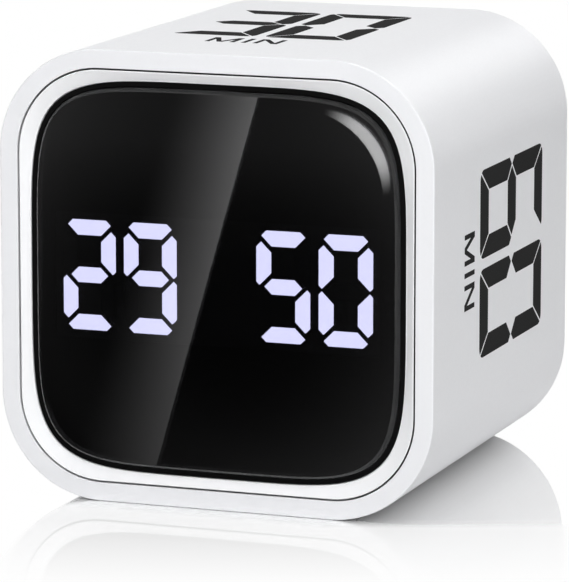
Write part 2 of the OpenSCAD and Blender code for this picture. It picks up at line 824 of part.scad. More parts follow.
module battery_cell() color("silver") translate([0, cell_front - case_depth / 2, case_half + cell_floor])
    rotate([-90, 0, 0]) linear_extrude(cell_len) translate([0, -cell_t / 2]) rounded(cell_w, cell_t, cell_round);

module battery_tape() color("gold")
    translate([pad_inset - cell_w / 2, cell_front + pad_inset - case_depth / 2, case_half - cavity_half])
        cube([cell_w - 2 * pad_inset, cell_len - 2 * pad_inset, pad_t]);

module battery_socket() color("ivory") slab(main_front - socket_h, socket_h)
    translate([battery_plug_x, battery_plug_y])
        square([plug_w + 2 * socket_lip, plug_h + 2 * socket_lip], center = true);

module battery_plug() color("ivory") slab(main_front - socket_h - plug_len, plug_len)
    translate([battery_plug_x, battery_plug_y]) square([plug_w, plug_h], center = true);

// Point on a cubic curve
function curve(p, t) = let (s = 1 - t) s * s * s * p[0] + 3 * s * s * t * p[1] + 3 * s * t * t * p[2] + t * t * t * p[3];

// Direction of that curve
function heading(p, t) =
    let (s = 1 - t, v = s * s * (p[1] - p[0]) + 2 * s * t * (p[2] - p[1]) + t * t * (p[3] - p[2])) v / norm(v);

// Lead from the front end of the cell, over the cell and into the plug, side by side in x
module battery_lead(side) {
    plug_end = main_front - socket_h - plug_len;
    low = cell_floor + cell_t / 2;
    route = [
        [cell_front, low],
        [cell_front - lead_bow, low],
        [cell_front - lead_bow / 2, battery_plug_y],
        [plug_end, battery_plug_y]
    ];
    translate([battery_plug_x + side * lead_pitch / 2, -case_depth / 2, case_half]) loft([
        for (k = [0 : lead_steps])
            let (p = curve(route, k / lead_steps), d = heading(route, k / lead_steps))
            [for (i = [0 : lead_sides - 1])
                let (a = 360 * i / lead_sides)
                [lead_r * cos(a), p.x + lead_r * sin(a) * d.y, p.y - lead_r * sin(a) * d.x]]
    ]);
}

module battery_lead_red() color("red") battery_lead(-1);

module battery_lead_black() color([0.1, 0.1, 0.1]) battery_lead(1);

outer_shell();
front_bezel();
front_lens();
lens_tape();
display_reflector();
lit_segments();
unlit_segments();
segment_leds();
display_board();
display_driver();
display_screws();
display_ribbon_socket();
display_ribbon();
main_ribbon_socket();
rear_cover();
rear_screws();
main_board();
main_board_screws();
controller_chip();
gravity_sensor();
charger_chip();
clock_crystal();
usb_shell();
usb_tongue();
slide_switch_body();
slide_switch_lever();
mode_knob();
tact_switch_body();
tact_switch_plunger();
set_button();
buzzer();
buzzer_seal();
vibration_motor();
battery_cell();
battery_tape();
battery_socket();
battery_plug();
battery_lead_red();
battery_lead_black();
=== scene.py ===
"""Cube timer: models what shows of the timer, gives every piece its finish and sets up its portrait.

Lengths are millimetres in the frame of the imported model: X to the right of the display, Y from the
display to the back, Z up, with the origin in the middle of the base. Meshes are in metres.
"""

import logging
import math
from collections.abc import Callable, Iterable, Iterator, Mapping, Sequence
from contextlib import contextmanager
from dataclasses import dataclass, field
from enum import Enum
from functools import cache

import bmesh
import bpy
from mathutils import Matrix, Vector


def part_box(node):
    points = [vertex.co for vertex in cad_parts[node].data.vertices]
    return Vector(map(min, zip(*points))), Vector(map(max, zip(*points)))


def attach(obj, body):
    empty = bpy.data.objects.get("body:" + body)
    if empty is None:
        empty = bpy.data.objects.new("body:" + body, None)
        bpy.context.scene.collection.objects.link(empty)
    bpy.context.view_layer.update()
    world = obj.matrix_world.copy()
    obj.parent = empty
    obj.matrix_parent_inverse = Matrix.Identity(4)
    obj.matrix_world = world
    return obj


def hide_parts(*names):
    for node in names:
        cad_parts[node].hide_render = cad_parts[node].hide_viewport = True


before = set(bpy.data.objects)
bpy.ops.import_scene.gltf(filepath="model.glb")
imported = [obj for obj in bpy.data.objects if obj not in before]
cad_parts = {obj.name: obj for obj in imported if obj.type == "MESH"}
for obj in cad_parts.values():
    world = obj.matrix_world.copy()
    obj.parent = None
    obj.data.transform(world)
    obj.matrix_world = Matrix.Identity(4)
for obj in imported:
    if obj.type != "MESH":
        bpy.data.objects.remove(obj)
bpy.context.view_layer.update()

log = logging.getLogger("cube_timer")
MM = 0.001

# Places nearer than CLOSE are one place, and unit vectors with a product above SAME_WAY one direction
CLOSE = 0.001
SAME_WAY = 0.999

# How far a cutting solid stands out of a piece, and how far joined solids reach into each other
OVER = 1.0
OVERLAP = 0.2

Colour = tuple[float, float, float]
Triple = tuple[float, float, float]
Point = tuple[float, float]
Socket = bpy.types.NodeSocket
BACK = Vector((0, 1, 0))
WHITE = (1.0, 1.0, 1.0)
UNSTRETCHED = (1.0, 1.0, 1.0)


@dataclass(frozen=True)
class NodeBox:
    """Lowest and highest corner of a CAD node, in millimetres."""

    low: Vector
    high: Vector

    @classmethod
    @cache
    def of(cls, node: str) -> "NodeBox":
        """Measures a CAD node.

        Args:
            node: name of the node.

        Returns:
            Its box at rest.
        """
        low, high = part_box(node)
        return cls(low / MM, high / MM)

    @property
    def middle(self) -> Vector:
        """Middle of the box."""
        return (self.low + self.high) / 2

    @property
    def axis(self) -> Point:
        """X and Z of the middle."""
        return self.middle.x, self.middle.z

    @property
    def size(self) -> Vector:
        """Width, depth and height of the box."""
        return self.high - self.low


CASE = NodeBox.of("outer_shell")
FRONT = CASE.low.y
REAR = CASE.high.y
AXIS = (0.0, CASE.middle.z)


class Outline:
    """Closed outline round an axis along Y, given by its reach in each direction."""

    def reach(self, angle: float) -> float:
        """Gives the distance from the axis to the outline.

        Args:
            angle: direction from the axis, from +X towards +Z, in radians.

        Returns:
            The distance in millimetres.
        """
        raise NotImplementedError

    def drawn_in(self, width: float) -> "Outline":
        """Gives the outline drawn in by a width, or widened if the width is below 0."""
        raise NotImplementedError

    def holds(self, point: Vector) -> bool:
        """Tells whether a point lies inside the outline, when that is laid round the case's axis.

        Args:
            point: the point, in metres.

        Returns:
            True inside.
        """
        across, upward = point.x / MM - AXIS[0], point.z / MM - AXIS[1]
        return math.hypot(across, upward) < self.reach(math.atan2(upward, across))


@dataclass(frozen=True)
class Round(Outline):
    """Circle."""

    radius: float

    def reach(self, angle: float) -> float:
        """Gives the radius."""
        return self.radius

    def drawn_in(self, width: float) -> "Round":
        """Gives a smaller circle."""
        return Round(self.radius - width)


@dataclass(frozen=True)
class Squircle(Outline):
    """Superellipse of equal width and height."""

    half: float
    power: float

    def reach(self, angle: float) -> float:
        """Gives the distance to the superellipse.

        Args:
            angle: direction from the axis, from +X towards +Z, in radians.

        Returns:
            The distance in millimetres.
        """
        across = abs(math.cos(angle)) ** self.power
        upward = abs(math.sin(angle)) ** self.power
        return self.half / (across + upward) ** (1 / self.power)

    def drawn_in(self, width: float) -> "Squircle":
        """Gives a smaller superellipse of the same power."""
        return Squircle(self.half - width, self.power)


@dataclass(frozen=True)
class RoundedBox(Outline):
    """Rectangle with rounded corners."""

    half_width: float
    half_height: float
    corner: float

    def reach(self, angle: float) -> float:
        """Gives the distance to the nearest side, or to the corner's arc.

        Args:
            angle: direction from the axis, from +X towards +Z, in radians.

        Returns:
            The distance in millimetres.
        """
        across, upward = abs(math.cos(angle)), abs(math.sin(angle))
        flat_width = self.half_width - self.corner
        flat_height = self.half_height - self.corner
        if self.half_width * upward <= flat_height * across:
            return self.half_width / across
        if self.half_height * across <= flat_width * upward:
            return self.half_height / upward
        along = across * flat_width + upward * flat_height
        return along + math.sqrt(along**2 - flat_width**2 - flat_height**2 + self.corner**2)

    def drawn_in(self, width: float) -> "RoundedBox":
        """Gives the rectangle with its sides and corners drawn in."""
        return RoundedBox(self.half_width - width, self.half_height - width, self.corner - width)


Section = tuple[Outline, float]


class Element(Enum):
    """What a selection in edit mode is made of, as Blender's three select modes."""

    VERTEX = (True, False, False)
    EDGE = (False, True, False)
    FACE = (False, False, True)


class Joining(Enum):
    """How two solids are combined."""

    CUT = "DIFFERENCE"
    ADD = "UNION"


def select_only(obj: bpy.types.Object) -> None:
    """Makes one object the only selected and the active one.

    Args:
        obj: the object to select.
    """
    bpy.ops.object.select_all(action="DESELECT")
    obj.select_set(True)
    bpy.context.view_layer.objects.active = obj


def quarter(steps: int) -> list[Point]:
    """Lists the cosine and sine of the angles of a quarter turn.

    Args:
        steps: number of steps in the quarter turn.

    Returns:
        One pair for each angle, from 0 to 90 degrees.
    """
    angles = [math.pi / 2 * k / steps for k in range(steps + 1)]
    return [(math.cos(a), math.sin(a)) for a in angles]


class Workpiece:
    """Mesh on the bench, which starts as a primitive and is shaped by Blender's operators."""

    def __init__(self, name: str) -> None:
        """Takes the object that was just added and moves its place into its mesh.

        Args:
            name: name of the piece.
        """
        self.obj = bpy.context.active_object
        self.obj.name = name
        self.obj.data.name = name
        self.apply_place()

    @classmethod
    def block(cls, name: str, low: Vector, high: Vector) -> "Workpiece":
        """Starts from a cube.

        Args:
            name: name of the piece.
            low: lowest corner.
            high: highest corner.

        Returns:
            The block.
        """
        bpy.ops.object.select_all(action="DESELECT")
        bpy.ops.mesh.primitive_cube_add(size=1, location=(low + high) / 2 * MM, scale=(high - low) * MM)
        return cls(name)

    @classmethod
    def bar(cls, name: str, at: Point, half: Point, span: Point) -> "Workpiece":
        """Starts from a cube that lies evenly round an axis along Y.

        Args:
            name: name of the piece.
            at: X and Z of the axis.
            half: half the width and half the height.
            span: where it starts and ends along Y.

        Returns:
            The bar.
        """
        low = Vector((at[0] - half[0], span[0], at[1] - half[1]))
        high = Vector((at[0] + half[0], span[1], at[1] + half[1]))
        return cls.block(name, low, high)

    @classmethod
    def loft(cls, name: str, axis: Point, sections: Sequence[Section], sides: int) -> "Workpiece":
        """Starts from a circle and extrudes it along Y, through one outline after another.

        Args:
            name: name of the piece.
            axis: X and Z of the axis.
            sections: outlines and their places along Y.
            sides: points on each outline.

        Returns:
            The closed solid.
        """
        bpy.ops.object.select_all(action="DESELECT")
        start = Vector((axis[0], 0, axis[1])) * MM
        bpy.ops.mesh.primitive_circle_add(
            vertices=sides, radius=MM, fill_type="NGON", location=start, rotation=(math.pi / 2, 0, 0)
        )
        piece = cls(name)
        with piece.editing():
            piece.place_ring(axis, *sections[0])
            for outline, depth in sections[1:]:
                bpy.ops.mesh.extrude_region_move()
                piece.place_ring(axis, outline, depth)
            piece.turn_outwards()
        return piece

    def select(self) -> None:
        """Makes this piece the only selected one."""
        select_only(self.obj)

    def apply_place(self) -> None:
        """Moves the place, turn and scale of the selected object into its mesh."""
        bpy.ops.object.transform_apply(location=True, rotation=True, scale=True)

    @contextmanager
    def editing(self) -> Iterator[None]:
        """Stays in edit mode for the length of a with block."""
        self.select()
        bpy.ops.object.mode_set(mode="EDIT")
        bpy.context.tool_settings.mesh_select_mode = Element.FACE.value
        yield
        bpy.ops.object.mode_set(mode="OBJECT")

    def place_ring(self, axis: Point, outline: Outline, depth: float) -> None:
        """Moves the selected points to an outline, each in its own direction from the axis.

        Args:
            axis: X and Z of the axis.
            outline: outline that the points go to.
            depth: their place along Y.
        """
        mesh = bmesh.from_edit_mesh(self.obj.data)
        for vertex in mesh.verts:
            if vertex.select:
                angle = math.atan2(vertex.co.z - axis[1] * MM, vertex.co.x - axis[0] * MM)
                reach = outline.reach(angle)
                across = axis[0] + reach * math.cos(angle)
                upward = axis[1] + reach * math.sin(angle)
                vertex.co = Vector((across, depth, upward)) * MM
        mesh.normal_update()
        bmesh.update_edit_mesh(self.obj.data)

    def pick(self, kind: Element, wanted: Callable[..., bool]) -> None:
        """Selects, in edit mode, the elements that pass a test.

        Args:
            kind: what to select.
            wanted: test of one element.
        """
        bpy.context.tool_settings.mesh_select_mode = kind.value
        bpy.ops.mesh.select_all(action="DESELECT")
        mesh = bmesh.from_edit_mesh(self.obj.data)
        elements = {Element.VERTEX: mesh.verts, Element.EDGE: mesh.edges, Element.FACE: mesh.faces}
        for element in elements[kind]:
            if wanted(element):
                element.select_set(True)
        mesh.select_flush_mode()
        bmesh.update_edit_mesh(self.obj.data)

    def pick_cap(self, towards: Vector, depth: float) -> None:
        """Selects the flat faces that look one way and lie at one place along that way.

        Args:
            towards: unit vector that the faces look along.
            depth: place of the faces along that vector.
        """
        self.pick(
            Element.FACE,
            lambda face: face.normal.dot(towards) > SAME_WAY
            and abs(face.calc_center_median().dot(towards) / MM - depth) < CLOSE,
        )

    def pick_edges_along_depth(self) -> None:
        """Selects the edges that run along Y."""
        self.pick(
            Element.EDGE,
            lambda edge: abs((edge.verts[0].co - edge.verts[1].co).normalized().dot(BACK)) > SAME_WAY,
        )

    def pick_edges_at(self, depth: float) -> None:
        """Selects the edges that lie at one place along Y.

        Args:
            depth: that place.
        """
        self.pick(
            Element.EDGE,
            lambda edge: all(abs(vertex.co.y / MM - depth) < CLOSE for vertex in edge.verts),
        )

    def bevel(self, width: float, segments: int) -> None:
        """Rounds the selected edges.

        Args:
            width: radius of the rounding.
            segments: faces across the rounding.
        """
        bpy.ops.mesh.bevel(offset=width * MM, offset_type="OFFSET", segments=segments, affect="EDGES")

    def inset(self, width: float) -> None:
        """Insets the selected faces by a width."""
        bpy.ops.mesh.inset(thickness=width * MM, use_even_offset=True)

    def extrude(self, shift: Vector) -> None:
        """Extrudes the selected faces by a vector."""
        bpy.ops.mesh.extrude_region_move(TRANSFORM_OT_translate={"value": shift * MM})

    def turn_outwards(self) -> None:
        """Makes all faces look outwards."""
        bpy.ops.mesh.select_all(action="SELECT")
        bpy.ops.mesh.normals_make_consistent(inside=False)

    def turn(self, degrees: float, at: Point) -> None:
        """Turns the piece round an axis along Y.

        Args:
            degrees: how far it turns.
            at: X and Z of the axis.
        """
        self.select()
        centre = Vector((at[0], 0, at[1])) * MM
        bpy.ops.transform.rotate(value=math.radians(degrees), orient_axis="Y", center_override=centre)
        self.apply_place()

    def combine(self, other: "Workpiece", joining: Joining) -> None:
        """Cuts another solid out of this one, or adds it. The other one is used up.

        Args:
            other: the second solid.
            joining: how the two are combined.
        """
        self.select()
        modifier = self.obj.modifiers.new(joining.name, "BOOLEAN")
        modifier.operation = joining.value
        modifier.solver = "EXACT"
        modifier.object = other.obj
        bpy.ops.object.modifier_apply(modifier=modifier.name)
        bpy.data.objects.remove(other.obj)

    def combine_all(self, others: Iterable["Workpiece"], joining: Joining) -> None:
        """Cuts out or adds several solids that don't touch each other, in one step.

        Args:
            others: the other solids.
            joining: how they are combined with this one.
        """
        pieces = list(others)
        pieces[0].select()
        for piece in pieces[1:]:
            piece.obj.select_set(True)
        bpy.ops.object.join()
        self.combine(pieces[0], joining)

    def copy(self, name: str, shift: Vector) -> "Workpiece":
        """Copies the piece, with a mesh of its own.

        Args:
            name: name of the copy.
            shift: from this piece to the copy.

        Returns:
            The copy.
        """
        self.select()
        bpy.ops.object.duplicate(linked=False)
        bpy.ops.transform.translate(value=shift * MM)
        return Workpiece(name)

    def finish(self, crease: float = 32.0) -> bpy.types.Object:
        """Smooths the shading up to a crease angle, with flat faces kept flat.

        Args:
            crease: angle in degrees from which an edge stays sharp.

        Returns:
            The finished object.
        """
        self.select()
        bpy.ops.object.shade_smooth_by_angle(angle=math.radians(crease))
        modifier = self.obj.modifiers.new("weighted", "WEIGHTED_NORMAL")
        modifier.keep_sharp = True
        bpy.ops.object.modifier_apply(modifier=modifier.name)
        return self.obj


def corners(at: float) -> list[Point]:
    """Lists the four corners of a square round the case's axis.

    Args:
        at: half the side of the square.

    Returns:
        X and Z of each corner.
    """
    return [(AXIS[0] + x * at, AXIS[1] + z * at) for x in (-1, 1) for z in (-1, 1)]


def pins(name: str, places: Iterable[Point], radius: float, span: Point, sides: int) -> list[Workpiece]:
    """Makes round solids along Y, to be added or cut out.

    Args:
        name: name of each solid.
        places: X and Z of each.
        radius: their radius.
        span: where they start and end along Y.
        sides: points on their outline.

    Returns:
        The solids.
    """
    sections = [(Round(radius), place) for place in span]
    return [Workpiece.loft(name, at, sections, sides) for at in places]


def on_four_sides(make: Callable[[], Workpiece]) -> Iterator[Workpiece]:
    """Makes a piece for the right side four times, and turns it to each side of the case.

    Args:
        make: makes the piece for the right side.

    Yields:
        The piece for each side.
    """
    for degrees in (0, 90, 180, 270):
        piece = make()
        piece.turn(degrees, AXIS)
        yield piece


class NodeSheet:
    """Node tree of a material or of the world, with short ways to add and join nodes."""

    def __init__(self, owner: bpy.types.Material | bpy.types.World) -> None:
        """Starts on an empty tree.

        Args:
            owner: the material or the world, whose nodes are removed.
        """
        self.owner = owner
        owner.use_nodes = True
        self.tree = owner.node_tree
        self.tree.nodes.clear()

    def add(
        self, kind: str, inputs: Mapping[str | int, object] | None = None, **settings: object
    ) -> bpy.types.Node:
        """Adds a node.

        Args:
            kind: the node's type.
            inputs: for its inputs, values or other nodes' outputs.
            **settings: properties of the node.

        Returns:
            The node.
        """
        node = self.tree.nodes.new(kind)
        for key, value in settings.items():
            setattr(node, key, value)
        for key, value in (inputs or {}).items():
            if isinstance(value, Socket):
                self.tree.links.new(value, node.inputs[key])
            else:
                node.inputs[key].default_value = value
        return node

    def math(self, operation: str, first: object, second: object = 0.0) -> Socket:
        """Works out one step of arithmetic.

        Args:
            operation: name of the operation.
            first: a number or an output.
            second: a number or an output.

        Returns:
            The result.
        """
        return self.add("ShaderNodeMath", {0: first, 1: second}, operation=operation).outputs[0]

    def product(self, first: Socket, *others: object) -> Socket:
        """Multiplies numbers.

        Args:
            first: an output.
            *others: numbers or outputs.

        Returns:
            The result.
        """
        for other in others:
            first = self.math("MULTIPLY", first, other)
        return first

    def vector(self, operation: str, *values: object) -> Mapping[str, Socket]:
        """Works out one step of vector arithmetic.

        Args:
            operation: name of the operation.
            *values: vectors or outputs.

        Returns:
            The outputs, of which Vector or Value is the result.
        """
        return self.add("ShaderNodeVectorMath", dict(enumerate(values)), operation=operation).outputs

    def split(self, vector: Socket) -> tuple[Socket, Socket]:
        """Gives the X and the Y of a vector."""
        parts = self.add("ShaderNodeSeparateXYZ", {"Vector": vector}).outputs
        return parts["X"], parts["Y"]

    def remap(self, value: object, source: Point, target: Point, smooth: bool = False) -> Socket:
        """Maps a range of values to another range, and holds its ends.

        Args:
            value: the output to map.
            source: first and last value that comes in.
            target: first and last value that goes out.
            smooth: whether the ends are eased.

        Returns:
            The result.
        """
        ends = zip(("From Min", "From Max", "To Min", "To Max"), (*source, *target))
        kind = "SMOOTHSTEP" if smooth else "LINEAR"
        node = self.add("ShaderNodeMapRange", {"Value": value, **dict(ends)}, interpolation_type=kind)
        return node.outputs["Result"]

    def blend(self, share: object, first: object, second: object, kind: str = "RGBA") -> Socket:
        """Blends two colours or two numbers.

        Args:
            share: share of the second one.
            first: a value or an output.
            second: a value or an output.
            kind: data type of both, RGBA or FLOAT.

        Returns:
            The result.
        """
        node = self.add("ShaderNodeMix", {"Factor": share, "A": first, "B": second}, data_type=kind)
        return node.outputs["Result"]

    def layer(self, share: Socket, first: Socket, second: Socket) -> Socket:
        """Mixes two shaders.

        Args:
            share: share of the second one.
            first: the first shader.
            second: the second shader.

        Returns:
            The mixed shader.
        """
        return self.add("ShaderNodeMixShader", {0: share, 1: first, 2: second}).outputs["Shader"]

    def clear_behind(self, shader: Socket) -> Socket:
        """Makes a shader clear where the surface is seen from behind."""
        behind = self.add("ShaderNodeNewGeometry").outputs["Backfacing"]
        return self.layer(behind, shader, self.add("ShaderNodeBsdfTransparent").outputs["BSDF"])

    def object_point(self, stretch: Triple = UNSTRETCHED, turn: Triple = (0.0, 0.0, 0.0)) -> Socket:
        """Gives the place on the piece, in its own coordinates.

        Args:
            stretch: factor for each axis.
            turn: angle round each axis, in radians.

        Returns:
            The place.
        """
        place = self.add("ShaderNodeTexCoord").outputs["Object"]
        inputs = {"Vector": place, "Scale": stretch, "Rotation": turn}
        return self.add("ShaderNodeMapping", inputs, vector_type="POINT").outputs["Vector"]

    def show(self, shader: Socket) -> None:
        """Makes a shader the surface of the material or the light of the world."""
        kind = "World" if isinstance(self.owner, bpy.types.World) else "Material"
        self.add(f"ShaderNodeOutput{kind}", {"Surface": shader})


def opaque(colour: Colour) -> tuple[float, float, float, float]:
    """Adds full opacity to a colour."""
    return (*colour, 1.0)


class Grain(Enum):
    """How the fine structure of a surface runs."""

    EVEN = "spark-eroded or moulded"
    DRAWN = "drawn along Y"
    CELLS = "foamed"
    STRIPES = "conductors side by side in X"
    TRACES = "circuit tracks"


# Parts of the noise and of the waves that show, and how drawn grain, tracks and pads are laid out
NOISE_RANGE = (0.3, 0.7)
NOISE_DETAIL = 3
STRIPE_EDGE = (0.4, 0.6)
DRAWN_OUT = (1.0, 0.03, 1.0)
TRACE_WIDTH = 0.06
PAD_TONE = (0.15, 0.15, 0.15)
ACROSS_BOARD = (math.pi / 2, 0.0, 0.0)


@dataclass(frozen=True)
class Finish:
    """Surface of one colour with a fine grain in its tone, its gloss and its relief."""

    name: str
    colour: Colour
    roughness: float
    accent: Colour | None = None
    metallic: float = 0.0
    shade: float = 0.05
    gloss_spread: float = 0.06
    grain: float = 0.35
    relief: float = 0.003
    run: Grain = Grain.EVEN
    sheen_level: float = 0.5

    def build(self) -> bpy.types.Material:
        """Makes the material.

        Returns:
            The material.
        """
        sheet = NodeSheet(bpy.data.materials.new(self.name))
        pattern = self.pattern(sheet)
        low = self.accent or self.dimmed()
        gloss = (self.roughness - self.gloss_spread, self.roughness + self.gloss_spread)
        bump = sheet.add("ShaderNodeBump", {"Distance": self.relief * MM, "Height": pattern})
        surface = sheet.add("ShaderNodeBsdfPrincipled", {
            "Base Color": sheet.blend(pattern, opaque(self.colour), opaque(low)),
            "Roughness": sheet.remap(pattern, (0, 1), gloss),
            "Metallic": self.metallic,
            "Specular IOR Level": self.sheen_level,
            "Normal": bump.outputs["Normal"],
            **self.light(sheet, pattern),
        })
        sheet.show(surface.outputs["BSDF"])
        return sheet.owner

    def dimmed(self) -> Colour:
        """Gives the colour of the grain's darker parts."""
        return tuple(part * (1 - self.shade) for part in self.colour)

    def light(self, sheet: NodeSheet, pattern: Socket) -> dict[str, object]:
        """Gives no inputs: only a lit surface glows."""
        return {}

    def pattern(self, sheet: NodeSheet) -> Socket:
        """Makes the grain, from 0 to 1.

        Args:
            sheet: node tree of the material.

        Returns:
            The grain's value.
        """
        size = 1 / (self.grain * MM)
        if self.run is Grain.CELLS:
            inputs = {"Scale": size, "Vector": sheet.object_point()}
            return sheet.add("ShaderNodeTexVoronoi", inputs, feature="F1").outputs["Distance"]
        if self.run is Grain.STRIPES:
            inputs = {"Scale": size / math.tau * 2, "Vector": sheet.object_point()}
            waves = sheet.add("ShaderNodeTexWave", inputs, wave_type="BANDS", bands_direction="X")
            return sheet.remap(waves.outputs["Fac"], STRIPE_EDGE, (0, 1))
        if self.run is Grain.TRACES:
            inputs = {
                "Vector": sheet.object_point(turn=ACROSS_BOARD),
                "Scale": size,
                "Color1": opaque((0, 0, 0)),
                "Color2": opaque(PAD_TONE),
                "Mortar": opaque(WHITE),
                "Mortar Size": TRACE_WIDTH,
            }
            return sheet.add("ShaderNodeTexBrick", inputs).outputs["Color"]
        stretch = DRAWN_OUT if self.run is Grain.DRAWN else UNSTRETCHED
        inputs = {"Scale": size, "Detail": NOISE_DETAIL, "Vector": sheet.object_point(stretch)}
        noise = sheet.add("ShaderNodeTexNoise", inputs)
        return sheet.remap(noise.outputs["Fac"], NOISE_RANGE, (0, 1))


@dataclass(frozen=True)
class LitFinish(Finish):
    """Diffuser with a lamp behind it."""

    glow: float = 1.0

    def light(self, sheet: NodeSheet, pattern: Socket) -> dict[str, object]:
        """Lets the surface glow, a little unevenly.

        Args:
            sheet: node tree of the material.
            pattern: its grain.

        Returns:
            Inputs of the surface node.
        """
        tone = sheet.blend(pattern, opaque(self.colour), opaque(self.dimmed()))
        return {"Emission Color": tone, "Emission Strength": self.glow}


@dataclass(frozen=True)
class LensFinish:
    """Polished smoked acrylic with a trace of handling in its gloss."""

    name: str = "smoked_acrylic"
    colour: Colour = (0.16, 0.16, 0.17)
    index: float = 1.49
    roughness: Point = (0.0, 0.02)
    smudge: float = 9.0
    smudge_range: Point = (0.4, 0.7)

    def build(self) -> bpy.types.Material:
        """Makes the material.

        Returns:
            The material.
        """
        sheet = NodeSheet(bpy.data.materials.new(self.name))
        inputs = {"Scale": 1 / (self.smudge * MM), "Vector": sheet.object_point()}
        noise = sheet.add("ShaderNodeTexNoise", inputs).outputs["Fac"]
        surface = sheet.add("ShaderNodeBsdfPrincipled", {
            "Base Color": opaque(self.colour),
            "Roughness": sheet.remap(noise, self.smudge_range, self.roughness),
            "Transmission Weight": 1.0,
            "IOR": self.index,
        })
        sheet.show(surface.outputs["BSDF"])
        return sheet.owner


WHITE_PLASTIC = Finish("satin_white_plastic", (0.795, 0.8, 0.822), 0.38, shade=0.012, relief=0.0015)
# Painted light: the shell's white plastic made a little brighter for the bezel, so that its sloping band
# reads lighter
LIT_BEZEL_WHITE = Finish(
    "bezel_white_plastic_lit_copy", (0.845, 0.85, 0.865), 0.3, shade=0.004, gloss_spread=0.02, relief=0.0004
)
PRINT_INK = Finish(
    "print_ink", (0.032, 0.032, 0.032), 0.6, shade=0.2, grain=0.2, relief=0.001, sheen_level=0.0008
)
LENS_BORDER = Finish("lens_border", (0.004, 0.004, 0.004), 0.5, sheen_level=0.03)
# Painted shade: a near-black coat on the outside of the bezel's skirt, so that the seam in front of it
# looks dark
SEAM_SHADE_PAINT = Finish("painted_seam_shade", (0.02, 0.02, 0.02), 0.6, sheen_level=0.1)
BLACK_FILM = Finish("black_film", (0.006, 0.006, 0.006), 0.6, sheen_level=0.2)
BLACK_PLASTIC = Finish("black_plastic", (0.018, 0.018, 0.018), 0.45, shade=0.3)
LIT_DIFFUSER = LitFinish("lit_diffuser", (0.75, 0.755, 1.0), 0.5, shade=0.02, grain=1.5, glow=6.3)
UNLIT_DIFFUSER = Finish("unlit_diffuser", (0.02, 0.02, 0.022), 0.5, grain=1.5)
LAMP_RESIN = Finish("lamp_resin", (0.85, 0.78, 0.35), 0.3)
BOARD_MASK = Finish(
    "board_mask",
    (0.01, 0.1, 0.04),
    0.3,
    accent=(0.02, 0.19, 0.08),
    grain=2.4,
    relief=0.02,
    run=Grain.TRACES,
)
CHIP_EPOXY = Finish("chip_epoxy", (0.02, 0.02, 0.022), 0.55, shade=0.4, grain=0.15)
PLATED_STEEL = Finish("plated_steel", (0.62, 0.62, 0.63), 0.26, metallic=1.0, shade=0.12, grain=0.3)
DRAWN_STEEL = Finish("drawn_steel", (0.62, 0.62, 0.64), 0.3, metallic=1.0, shade=0.15, run=Grain.DRAWN)
IVORY_NYLON = Finish("ivory_nylon", (0.76, 0.71, 0.58), 0.5)
RIBBON_FILM = Finish(
    "ribbon_film", (0.78, 0.78, 0.76), 0.4, accent=(0.5, 0.5, 0.52), grain=0.5, run=Grain.STRIPES
)
CONTROL_GREY = Finish("control_grey", (0.045, 0.045, 0.05), 0.5, shade=0.2, grain=0.18, relief=0.006)
TONGUE = Finish(
    "socket_tongue", (0.018, 0.018, 0.02), 0.4, accent=(0.72, 0.5, 0.17), grain=0.5, run=Grain.STRIPES
)
GREY_FOAM = Finish("grey_foam", (0.09, 0.09, 0.09), 0.9, shade=0.6, grain=0.3, relief=0.1, run=Grain.CELLS)
CELL_FOIL = Finish("cell_foil", (0.6, 0.6, 0.62), 0.32, metallic=0.9, grain=5, relief=0.15)
AMBER_TAPE = Finish("amber_tape", (0.62, 0.36, 0.05), 0.25, grain=3)
RED_LEAD = Finish("red_lead", (0.45, 0.015, 0.015), 0.45)
BLACK_LEAD = Finish("black_lead", (0.02, 0.02, 0.02), 0.45)


@cache
def material_of(finish: Finish | LensFinish) -> bpy.types.Material:
    """Makes the material of a finish at the first call, and gives the same one after that."""
    return finish.build()


def install(
    obj: bpy.types.Object,
    finish: Finish | LensFinish,
    nodes: Sequence[str] = (),
    body: str = "case",
) -> None:
    """Gives a finished piece its material and its body, and hides the CAD nodes that it stands for.

    Args:
        obj: the piece.
        finish: its finish.
        nodes: CAD nodes that it replaces.
        body: CAD body that it moves with.
    """
    obj.data.materials.clear()
    obj.data.materials.append(material_of(finish))
    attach(obj, body)
    if nodes:
        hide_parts(*nodes)
    log.info("%s: %d faces, on %s", obj.name, len(obj.data.polygons), body)


def paint(piece: Workpiece, finish: Finish, wanted: Callable[[bmesh.types.BMFace], bool]) -> None:
    """Gives some faces of an installed piece a second finish.

    Args:
        piece: the piece.
        finish: the second finish.
        wanted: test of one face.
    """
    piece.obj.data.materials.append(material_of(finish))
    with piece.editing():
        piece.pick(Element.FACE, wanted)
        piece.obj.active_material_index = len(piece.obj.data.materials) - 1
        bpy.ops.object.material_slot_assign()


